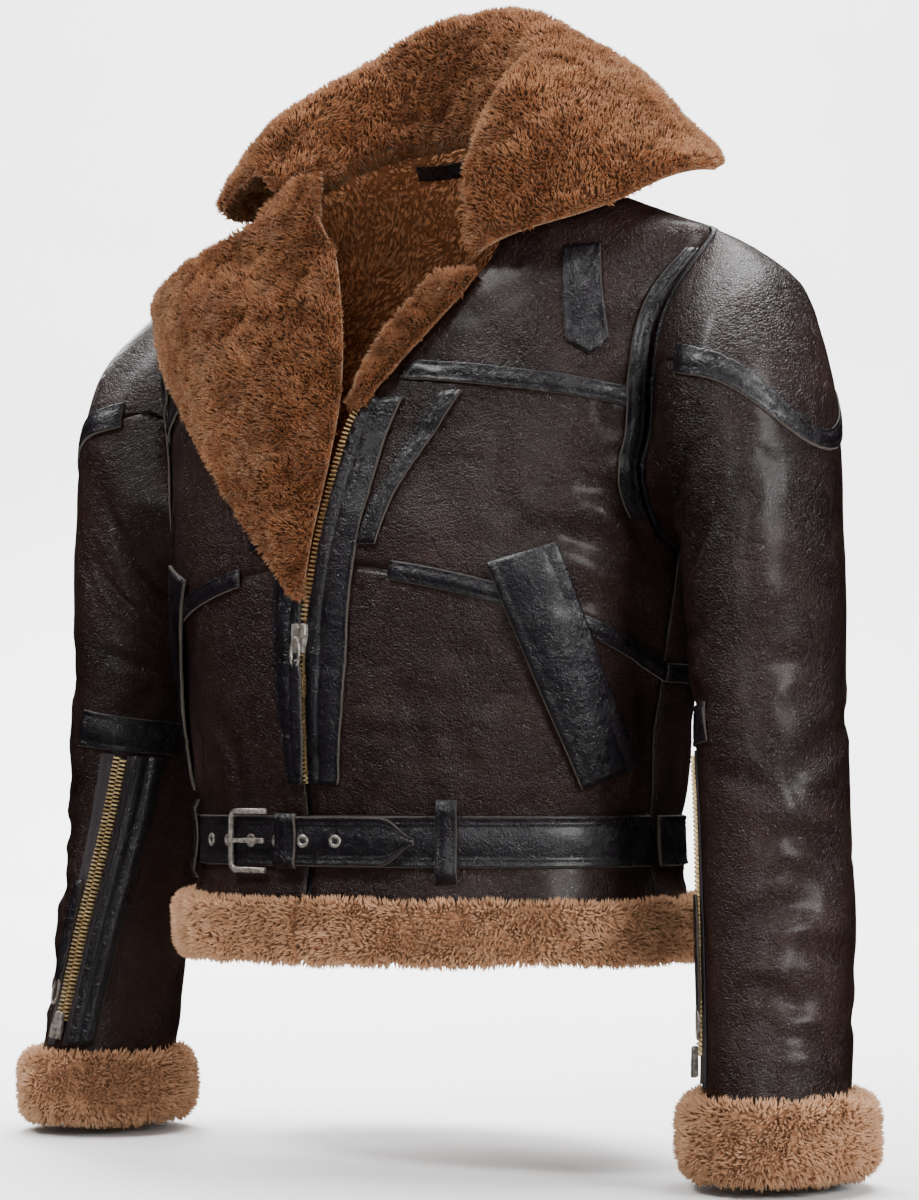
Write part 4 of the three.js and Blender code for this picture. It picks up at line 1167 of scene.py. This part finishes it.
def make_front_strips(word, side):
    first, last = front_span(side)
    column, start, top = (1, 0.05, -112) if side > 0 else (2, 0.62, -222)
    inset = lambda angle: (lambda z: last(z) - side * angle)
    slant = lambda x: (lambda z: side * angle_at_x(smooth(SLANT, 1, z) + x, z))
    ribbon(f"tape_yoke_{word}", [f"yoke_tape_{word}"], 48, "s", 12, on_body(
        lambda z: mix(first(z), last(z), start), inset(0.015), *beside(yoke_seam)))
    ribbon(f"tape_middle_{word}", [f"middle_tape_{word}"], 56, "s", 12, on_body(
        lambda z: mix(first(z), last(z), MIDDLE_START), last,
        *beside(lambda s: middle_seam(mix(MIDDLE_START, 1, s)))))
    ribbon(f"facing_{word}", [f"zip_facing_{word}"], 64, "t", 30, on_body(
        first, lambda z: side * angle_at_x(smooth(FACING, column, z), z), level(ZIP_END), level(top),
    ), lines=(0.3, 0.36, 0.9), dome=0.2, swell=lambda s, t: 1.3 * arch(s, 0, 0.33) + 0.4 * arch(s, 0.4, 0.5))
    ribbon(f"strip_slant_{word}", [f"slant_strip_{word}"], 26, "t", 14, on_body(
        slant(-7), slant(7), level(-212), level(-110)))
    ribbon(f"tape_armhole_{word}", [f"armhole_tape_{word}"], 40, "t", 13, on_body(
        inset(0.12), inset(0.035), level(-196), level(-16)), TAPE)
    make_welt(word, side)


def make_back_tapes():
    for name, seam in (("yoke", BACK_YOKE), ("middle", BACK_MIDDLE)):
        ribbon(f"tape_back_{name}", [f"back_{name}_tape"], 120, "s", 12, on_body(
            *BACK_SPAN, *beside(level(seam))), group="back")


def make_welt(word, side):
    def at(s, t, out):
        angle, z = (mix(mix(*WELT[0, :, k], s), mix(*WELT[1, :, k], s), t) for k in (0, 1))
        return torso(side * angle, z, 0.5 * body_relief(side * angle, z) + out)

    def swell(s, t):
        hump = np.sin(PI * s) ** 0.8 * np.abs(np.sin(PI * t)) ** 0.4
        return 2.4 * hump + 0.5 * noise(np.stack([s * 44, t * 150, 0 * s], -1), 13, 2 + side)
    ribbon(f"welt_{word}", [f"pocket_welt_{word}"], 46, "t", 44, at, 2.6, 3.2, (0.13, 0.8), dome=0.3,
           swell=swell)


def make_sleeve_strips(word, side):
    off = lambda angle: (lambda along: zip_line(side, along) + angle)
    span = (level(ZIP_START), level(ZIP_STOP))
    ribbon(f"tape_cap_{word}", [f"cap_tape_{word}"], 84, "s", 12,
           lambda s, t, out: creased_sleeve(side, *cap_tape(s, t), out), group="sleeves")
    swell = lambda s, t: arch(s, 0, 0.45) + 0.7 * arch(s, 0.45, 0.5)
    ribbon(f"band_sleeve_{word}", [f"sleeve_band_{word}"], 60, "t", 23, on_sleeve(
        side, off(0.19), off(0.6), *span), lines=(0.12, 0.45, 0.9), group="sleeves", swell=swell)
    ribbon(f"tab_sleeve_{word}", [f"sleeve_tab_{word}"], 40, "s", 24, on_sleeve(
        side, off(-0.75), off(0.75), level(ZIP_START - 0.05), level(ZIP_START - 0.006),
    ), lines=(0.14, 0.86), group="sleeves")
    for edge, from_, to in (("inner", -0.3, -0.09), ("outer", 0.09, 0.2)):
        ribbon(f"zip_cloth_{edge}_{word}", (), 50, "t", 9, on_sleeve(side, off(from_), off(to), *span),
               0.3, 1.2, (0.5,), "sleeves", [ZIP_CLOTH, ZIP_CLOTH, ZIP_CLOTH], declared=None)


BELT_HALF, BELT_THICK, BELT_LIFT, BELT_OVER = 17, 3, 1.2, 5
BELT_LINES = (0.1, 0.19, 0.81, 0.9)
BELT_GAP = 0.03
TIP_X = 78
HOLES_X = (24, -2, -28, -54, -80, -104)
# The belt's loops: piece, node and angle.
LOOPS = (
    ("loop_left", "belt_loop_left", 0.555), ("loop_right", "belt_loop_right", -0.815),
    ("loop_back_left", "belt_loop_back_left", 2.35), ("loop_back_right", "belt_loop_back_right", -2.35),
)


def strap_lift(u):
    return mix(BELT_LIFT, BELT_OVER, ease((u + 0.14) / 0.11))


def make_belts():
    def band(name, node_name, from_, to, cols, lift, half, group):
        ribbon(name, [node_name], cols, "s", 2 * BELT_HALF, plain_body(
            level(from_), level(to), lambda s: BELT_HEIGHT - half(s), lambda s: BELT_HEIGHT + half(s),
        ), lift, BELT_THICK, BELT_LINES, group, dome=0.25)
    tip = float(angle_at_x(TIP_X, BELT_HEIGHT))
    start = -SIDE + BELT_GAP
    taper = lambda s: BELT_HALF * (1 - 0.85 * ease((s - 0.93) / 0.07) ** 1.3)
    full = level(BELT_HALF)
    band("belt_end", "belt_strap", start, tip, 90, lambda s: strap_lift(mix(start, tip, s)), taper, "belt")
    band("belt_front", "belt_left", 0.0, SIDE - BELT_GAP, 70, BELT_LIFT, full, "belt")
    band("belt_rear", "belt_back", SIDE + BELT_GAP, TURN - SIDE - BELT_GAP, 110, BELT_LIFT, full, "back")
    over = lambda t: mix(LIFT, BELT_OVER, ease(np.sin(PI * t) * 3))
    for name, node_name, middle in LOOPS:
        ribbon(name, [node_name], 26, "t", 13, plain_body(
            level(middle - 0.04), level(middle + 0.04), level(-438), level(-382),
        ), over, group="back" if abs(middle) > 2 else "belt")
    ribbon("keeper", ["belt_keeper"], 14, "t", 15, plain_body(
        level(-0.13), level(-0.04), level(BELT_HEIGHT - 19.5), level(BELT_HEIGHT + 19.5),
    ), lambda t: BELT_OVER + BELT_THICK - 2.6 + 2.4 * ease(np.sin(PI * t) * 4), 2.5, group="belt")


def make_straps():
    edge = lambda low, high: (lambda z: angle_at_x(mix(low, high, (z + 90) / 80), z))
    ribbon("strap_collar", ["collar_strap"], 24, "t", 24, on_body(
        edge(171, 158), edge(195, 182), lambda s: -78 - 10 * (1 - np.abs(2 * s - 1)), level(-12),
    ), lines=(0.14, 0.86))
    ribbon("loop_hanger", ["hanger_loop"], 40, "s", 8, plain_body(
        level(PI - 0.4), level(PI + 0.4), level(75), level(83),
    ), lambda s: -SKIN - 4.5 - 7 * np.sin(PI * s), 3.0, (0.5,), "back")


def make_underlap():
    """The leather that closes the front under its edges, below the zip."""
    overlap = 0.05
    spot = between(lambda z: -edge_angle(-1, z) - overlap, lambda z: edge_angle(1, z) + overlap,
                   level(-449), level(-366))
    shell("underlap", (), (4, 24), lambda s, t, out: torso(*spot(s, t), out - 3.3),
          [STRIP, STRIP, STRIP], 1.2)


for word, side in SIDES:
    make_front_strips(word, side)
make_back_tapes()
make_underlap()
for word, side in SIDES:
    make_sleeve_strips(word, side)
make_belts()
make_straps()


# Metal and the zips.
def rod(name, path, normals, half_wide, half_tall, look, nodes=(), body="root", closed=False, sides=10):
    """A rounded bar along a path. normals say which way its height goes; sizes may vary along it."""
    path = np.asarray(path, float)
    count = len(path)
    normals = unit(np.broadcast_to(np.asarray(normals, float), path.shape))
    ahead = unit(np.roll(path, -1, 0) - np.roll(path, 1, 0)) if closed else unit(np.gradient(path, axis=0))
    aside = unit(np.cross(ahead, normals))
    rise = np.cross(aside, ahead)
    turn = np.arange(sides) * TURN / sides
    ring_x, ring_y = np.cos(turn), np.sin(turn)
    ring_x = np.sign(ring_x) * np.abs(ring_x) ** 0.7
    ring_y = np.sign(ring_y) * np.abs(ring_y) ** 0.7
    wide = np.broadcast_to(half_wide, count)[:, None, None]
    tall = np.broadcast_to(half_tall, count)[:, None, None]
    verts = (path[:, None] + aside[:, None] * ring_x[None, :, None] * wide
             + rise[:, None] * ring_y[None, :, None] * tall).reshape(-1, 3)
    faces = []
    for j in range(count if closed else count - 1):
        for i in range(sides):
            a, b = j * sides + i, j * sides + (i + 1) % sides
            c, d = ((j + 1) % count) * sides + (i + 1) % sides, ((j + 1) % count) * sides + i
            faces += [(a, b, c), (a, c, d)]
    if not closed:
        last = (count - 1) * sides
        verts = np.concatenate([verts, path[:1], path[-1:]])
        for i in range(sides):
            k = (i + 1) % sides
            faces += [(len(verts) - 2, k, i), (len(verts) - 1, last + i, last + k)]
    faces = np.array(faces)
    piece = make_mesh(name, verts, outward(verts, faces), [look])
    return settle(piece, nodes, body)


def plate(name, outline, thick, centre, across, up, look, nodes=(), body="root", bevel=0.8):
    """An extruded outline with rounded edges. outline is in millimetres along across and up."""
    across, up = unit(np.array(across, float)), unit(np.array(up, float))
    normal = np.cross(across, up)
    flat = np.array([np.array(centre) + across * x + up * y for x, y in outline])
    count = len(flat)
    verts = np.concatenate([flat, flat + normal * thick])
    mesh = bpy.data.meshes.new(name)
    faces = [tuple(range(count))[::-1], tuple(range(count, 2 * count))]
    faces += [(i, (i + 1) % count, count + (i + 1) % count, count + i) for i in range(count)]
    mesh.from_pydata([Vector(v) * MM for v in verts], [], faces)
    mesh.materials.append(look)
    piece = add_object(name, mesh)
    edges = piece.modifiers.new("edges", "BEVEL")
    edges.width = bevel * MM
    edges.segments = 2
    return settle(piece, nodes, body)


def teeth(name, nodes, centre, ahead, aside, normal, size, stagger_rows):
    """Small wedge-shaped teeth. stagger_rows gives (shift ahead, shift aside) for each row."""
    long, deep, tall = size
    shape = np.array([(x, y, z) for z in (0, 1) for y in (-1, 1) for x in (-1, 1)], float)
    verts = []
    for forward, sideways in stagger_rows:
        middle = centre + ahead * forward + aside * sideways
        for x, y, z in shape:
            slim = 0.62 if z else 1.0
            verts.append(middle + aside * (x * long / 2 * (0.88 if z else 1)) + ahead * (y * deep / 2 * slim)
                         + normal * (z * tall))
    rows = len(stagger_rows)
    verts = np.stack(verts, 1)
    quads = np.array([(0, 2, 3, 1), (4, 5, 7, 6), (0, 1, 5, 4), (2, 6, 7, 3), (0, 4, 6, 2), (1, 3, 7, 5)])
    at = (np.arange(len(centre))[:, None, None] * rows + np.arange(rows)[None, :, None]) * 8
    faces = (at[..., None] + quads[None, None]).reshape(-1, 4)
    verts = verts.reshape(-1, 3)
    piece = make_mesh(name, verts, outward(verts, faces), [BRASS], flat=True)
    return settle(piece, nodes)


def track(at, low, high, pitch):
    """Places along a surface line at(k, out) with their directions: ahead, aside and normal."""
    k = np.linspace(low, high, 600)
    length = lengths(at(k, 0 * k))
    k = np.interp(np.arange(pitch / 2, length[-1], pitch), length, k)
    step = (high - low) / 600
    ahead = unit(at(k + step, 0 * k) - at(k - step, 0 * k))
    normal = unit(at(k, 0 * k + 1) - at(k, 0 * k))
    return at(k, 0 * k), ahead, np.cross(normal, ahead), normal


SLIDER_OUTLINE = [
    (-6, 9.5), (-2, 10), (0, 8.4), (2, 10), (6, 9.5), (6.2, 2), (4.4, -6), (4, -10), (-4, -10),
    (-4.4, -6), (-6.2, 2),
]
BRIDGE_OUTLINE = [(-1.4, 5), (1.4, 5), (1.4, 9.5), (-1.4, 9.5)]


def make_zips():
    body_line = lambda x: (lambda z, out: torso(angle_at_x(x(z), z), z, out - 1))
    teeth("teeth_closed", ["zip_closed"], *track(body_line(level(0)), ZIP_END, SLIDER_LOW, TOOTH_PITCH),
          (3.0, 1.7, 3.0), [(0, -1.1), (TOOTH_PITCH / 2, 1.1)])
    edge = body_line(lambda z: smooth(LEFT_EDGE, 1, z) - 2.6)
    teeth("teeth_left", ["zip_open_left"], *track(edge, SLIDER_HIGH + 2, -112, TOOTH_PITCH),
          (6.0, 1.8, 3.6), [(0, 0)])
    above = LIFT + TAPE + LIFT
    middle = (SLIDER_LOW + SLIDER_HIGH) / 2
    foot = torso(0.0, middle, above)
    normal = unit(torso(0.0, middle, above + 1) - foot)
    normal[0] = 0
    across = (1, 0, 0)
    up = np.cross(normal, across)
    plate("slider", SLIDER_OUTLINE, 4.2, foot, across, up, NICKEL, ["zip_slider"])
    plate("slider_bridge", BRIDGE_OUTLINE, 2.6, foot + normal * 4.0, across, up, NICKEL, bevel=0.5)
    make_main_pull()
    for word, side in SIDES:
        make_sleeve_zip(word, side)


PULL_THICK = 2.3
PULL_RING_LIFT = 1.25


def tongue(name, at, cells, body, nodes):
    """A leather pull on a surface at(s, t, out), slightly domed."""
    def place(s, t, out):
        rise = PULL_THICK * (1 - 0.3 * np.abs(2 * s - 1) ** 3)
        return at(s, t, rise if np.mean(out) > -0.01 else 0 * s)
    shell(name, nodes, cells, place, [STRIP, RAW_EDGE, STRIP], PULL_THICK, None, body=body)


def make_main_pull():
    lift = LIFT + TAPE + LIFT + 4.5 + 0.95
    low, high = -366, -272.5

    def at(s, t, out):
        z = mix(low, high - 16, t)
        half = mix(3.2, 4.6, ease(t * 3)) * (1 - 0.45 * ease((t - 0.86) / 0.14))
        return torso(angle_at_x((2 * s - 1) * half, z), z, lift + out)
    tongue("pull_main", at, (6, 30), "main_pull", ["zip_pull"])
    ring = circle(28)
    z = high - 11.5 + 10 * np.sin(ring)
    path = torso(angle_at_x(3.3 * np.cos(ring), z), z, lift + PULL_RING_LIFT)
    rod("pull_main_ring", path, torso_normal(0.0 * z, z), 1.0, 1.0, NICKEL, (), "main_pull", True)


# The sleeve zips' slider as a place along, its lift, and the angle its pull lies beside the chain.
SLEEVE_SLIDER = 0.945
SLEEVE_PULL_LIFT = 3.8
SLEEVE_PULL_ASIDE = -0.21


def make_sleeve_zip(word, side):
    surface = lambda along, out: creased_sleeve(side, zip_line(side, along), along, out)
    smooth_surface = lambda around, along, out: sleeve(side, around, along, out, False)
    teeth(f"teeth_sleeve_{word}", [f"sleeve_zip_{word}"], *track(
        lambda along, out: surface(along, out + 1.2), ZIP_START + 0.002, SLEEVE_SLIDER + 0.012, TOOTH_PITCH,
    ), (5.4, 1.8, 2.7), [(0, -2.5), (TOOTH_PITCH / 2, 2.5)])
    along = SLEEVE_SLIDER + 0.0175
    foot = surface(along, 3.9)
    normal = unit(surface(along, 4.9) - foot)
    up = unit(surface(along - 0.01, 3.9) - foot)
    outline = [(x * 0.85, -y) for x, y in SLIDER_OUTLINE][::-1]
    plate(f"slider_sleeve_{word}", outline, 3.6, foot, unit(np.cross(up, normal)), up, NICKEL,
          [f"sleeve_slider_{word}"])

    def strap(s, t, out):
        place = mix(SLEEVE_SLIDER - 0.17, SLEEVE_SLIDER - 0.034, t)
        half = 0.09 * (1 - 0.35 * ease((t - 0.8) / 0.2)) * (0.75 + 0.25 * ease(t * 5))
        around = zip_line(side, place) + SLEEVE_PULL_ASIDE + (2 * s - 1) * half
        return smooth_surface(around, place, SLEEVE_PULL_LIFT + out)
    body = f"{word}_sleeve_pull"
    tongue(f"pull_sleeve_{word}", strap, (6, 26), body, [f"sleeve_pull_{word}"])
    ring = circle(24)
    place = SLEEVE_SLIDER - 0.0225 + 0.0155 * np.sin(ring)
    around = zip_line(side, place) + SLEEVE_PULL_ASIDE + 0.058 * np.cos(ring)
    path = smooth_surface(around, place, SLEEVE_PULL_LIFT + PULL_RING_LIFT)
    normals = unit(smooth_surface(around, place, 6.0) - path)
    rod(f"pull_ring_{word}", path, normals, 1.0, 1.0, NICKEL, (), body, True)


UP = np.array((0.0, 0.0, 1.0))


def make_buckle():
    angle, wide, tall, bar, bend = -0.285, 42, 44, 4, 6
    foot = torso(angle, BELT_HEIGHT + 0.0)
    normal = torso(angle, BELT_HEIGHT + 0.0, 1.0) - foot
    normal[2] = 0
    normal = unit(normal)
    across = np.cross(UP, normal)
    centre = foot + normal * (BELT_LIFT + BELT_THICK + 1.5 + 1.5)
    half_x, half_y = wide / 2 - bar / 2, tall / 2 - bar / 2
    corner = lambda y, a, b: [
        (-half_x + bend + bend * math.cos(t), y + bend * math.sin(t)) for t in np.linspace(a, b, 9)]
    flat = ([(half_x, half_y)] + corner(half_y - bend, PI / 2, PI) + corner(-half_y + bend, PI, 1.5 * PI)
            + [(half_x, -half_y)])
    path = [centre + across * x + UP * y for x, y in flat]
    rod("buckle_frame", path, normal, 2.0, 1.5, NICKEL, ["buckle"], sides=14)
    rise = lambda x: 0.9 * ease((half_x - x) / 30) + 1.7 * ease((-half_x + 4 - x) / -6 + 1)
    prong = [centre + across * x + normal * rise(x) for x in np.linspace(half_x, -half_x - 2, 22)]
    rod("buckle_prong", prong, normal, np.linspace(1.9, 1.3, 22), np.linspace(1.3, 1.0, 22), NICKEL)


EYELET_RADIUS = 3.5


def make_eyelets():
    ring = circle(24)
    for k, x in enumerate(HOLES_X):
        u = float(angle_at_x(x, BELT_HEIGHT))
        lift = float(strap_lift(u)) + BELT_THICK * 0.98
        at = lambda dx, dz, out: torso(angle_at_x(x + dx, BELT_HEIGHT + dz), BELT_HEIGHT + dz, lift + out)
        path = at(EYELET_RADIUS * np.cos(ring), EYELET_RADIUS * np.sin(ring), 0 * ring + 0.2)
        normal = torso_normal(np.array(u), np.array(BELT_HEIGHT + 0.0))
        rod(f"eyelet_{k}", path, normal, 1.3, 0.7, NICKEL, closed=True, sides=8)
        middle = at(0.0, 0.0, 0.0)
        rod(f"eyelet_hole_{k}", [middle - normal * 0.4, middle, middle + normal * 0.25], UP, 2.5, 2.5, THREAD,
            sides=16)


make_piping()
make_zips()
make_buckle()
make_eyelets()
make_stitches()


# Camera, floor and lights.
def look_at(thing, target):
    thing.rotation_euler = (Vector(target) - thing.location).to_track_quat("-Z", "Y").to_euler()


# The camera looks along this turn round the upright axis, and slightly up.
CAMERA_TURN = math.radians(36)
CAMERA_PITCH = math.atan(195 / 2932)


def make_camera():
    camera = add_object("camera", bpy.data.cameras.new("camera"))
    camera.data.lens = 87.96
    camera.data.clip_end = 60
    camera.location = (1.2438, -1.6846, -0.379)
    flat = math.cos(CAMERA_PITCH)
    ahead = Vector((-math.sin(CAMERA_TURN) * flat, math.cos(CAMERA_TURN) * flat, math.sin(CAMERA_PITCH)))
    look_at(camera, camera.location + ahead)
    bpy.context.scene.camera = camera


def make_stage():
    """A pale floor that curves up into the backdrop."""
    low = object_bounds()[0][2]
    mat, tree, shader = material("floor_paint")
    paint = ramp(tree, cloud(tree, 3, Detail=3), [(0.3, 0.86), (0.7, 0.9)])
    tree.links.new(paint, shader.inputs["Base Color"])
    set_inputs(shader, {"Roughness": 0.7})
    half, far, bend = 9.0, 4.2, 2
    rows = [(-half, 0.0), *((far - bend + bend * math.sin(a), bend - bend * math.cos(a))
                            for a in np.linspace(0, PI / 2, 16)), (far, half)]
    turn = Matrix.Rotation(CAMERA_TURN, 3, "Z")
    verts = [turn @ Vector((x, y, z)) + Vector((0, 0, low - 0.002))
             for y, z in rows for x in (-half * 1.6, half * 1.6)]
    faces = [(2 * k, 2 * k + 1, 2 * k + 3, 2 * k + 2) for k in range(len(rows) - 1)]
    mesh = bpy.data.meshes.new("floor")
    mesh.from_pydata(verts, [], faces)
    mesh.polygons.foreach_set("use_smooth", [True] * len(faces))
    mesh.materials.append(mat)
    floor = add_object("floor", mesh)
    floor.visible_glossy = False


# Lamps: name, place, power, size and what they light.
JACKET_MIDDLE = (0, 0, -0.25)
LAMPS = (
    ("key", (-1.2, -2.4, 3.3), 150, 0.9, JACKET_MIDDLE), ("side", (3.4, -0.6, 0.9), 135, 1.2, JACKET_MIDDLE),
    ("front", (1.9, -3.6, 0.5), 32, 1.5, JACKET_MIDDLE), ("back", (-2.4, 2.0, 1.6), 140, 1.2, JACKET_MIDDLE),
    ("top", (0.6, 0.9, 3.2), 95, 1.8, JACKET_MIDDLE), ("wash", (-0.9, 1.3, 3.6), 760, 4, (-2.2, 3.4, -0.4)),
)


def make_lights():
    for name, place, power, size, target in LAMPS:
        lamp = add_object(name, bpy.data.lights.new(name, "AREA"))
        lamp.data.energy = power
        lamp.data.size = size
        lamp.location = place
        look_at(lamp, target)
    world = bpy.data.worlds.new("studio")
    world.use_nodes = True
    set_inputs(world.node_tree.nodes["Background"], {"Color": (1, 1, 1, 1), "Strength": 0.8})
    bpy.context.scene.world = world
    world.cycles_visibility.diffuse = False
    world.cycles_visibility.glossy = False


def dress_nodes():
    """A finish for each part of the model that still shows."""
    looks = {"leather": LEATHER, "strip": STRIP, "fleece": FLEECE, "brass": BRASS, "nickel": NICKEL}
    slots = {row["node"]: row["material_slot"] for row in frame["record"]["subparts"]}
    for name, slot in slots.items():
        piece = bpy.data.objects.get(name)
        if piece and piece.type == "MESH":
            piece.data.materials.clear()
            piece.data.materials.append(looks[slot])


dress_nodes()
make_camera()
make_stage()
make_lights()
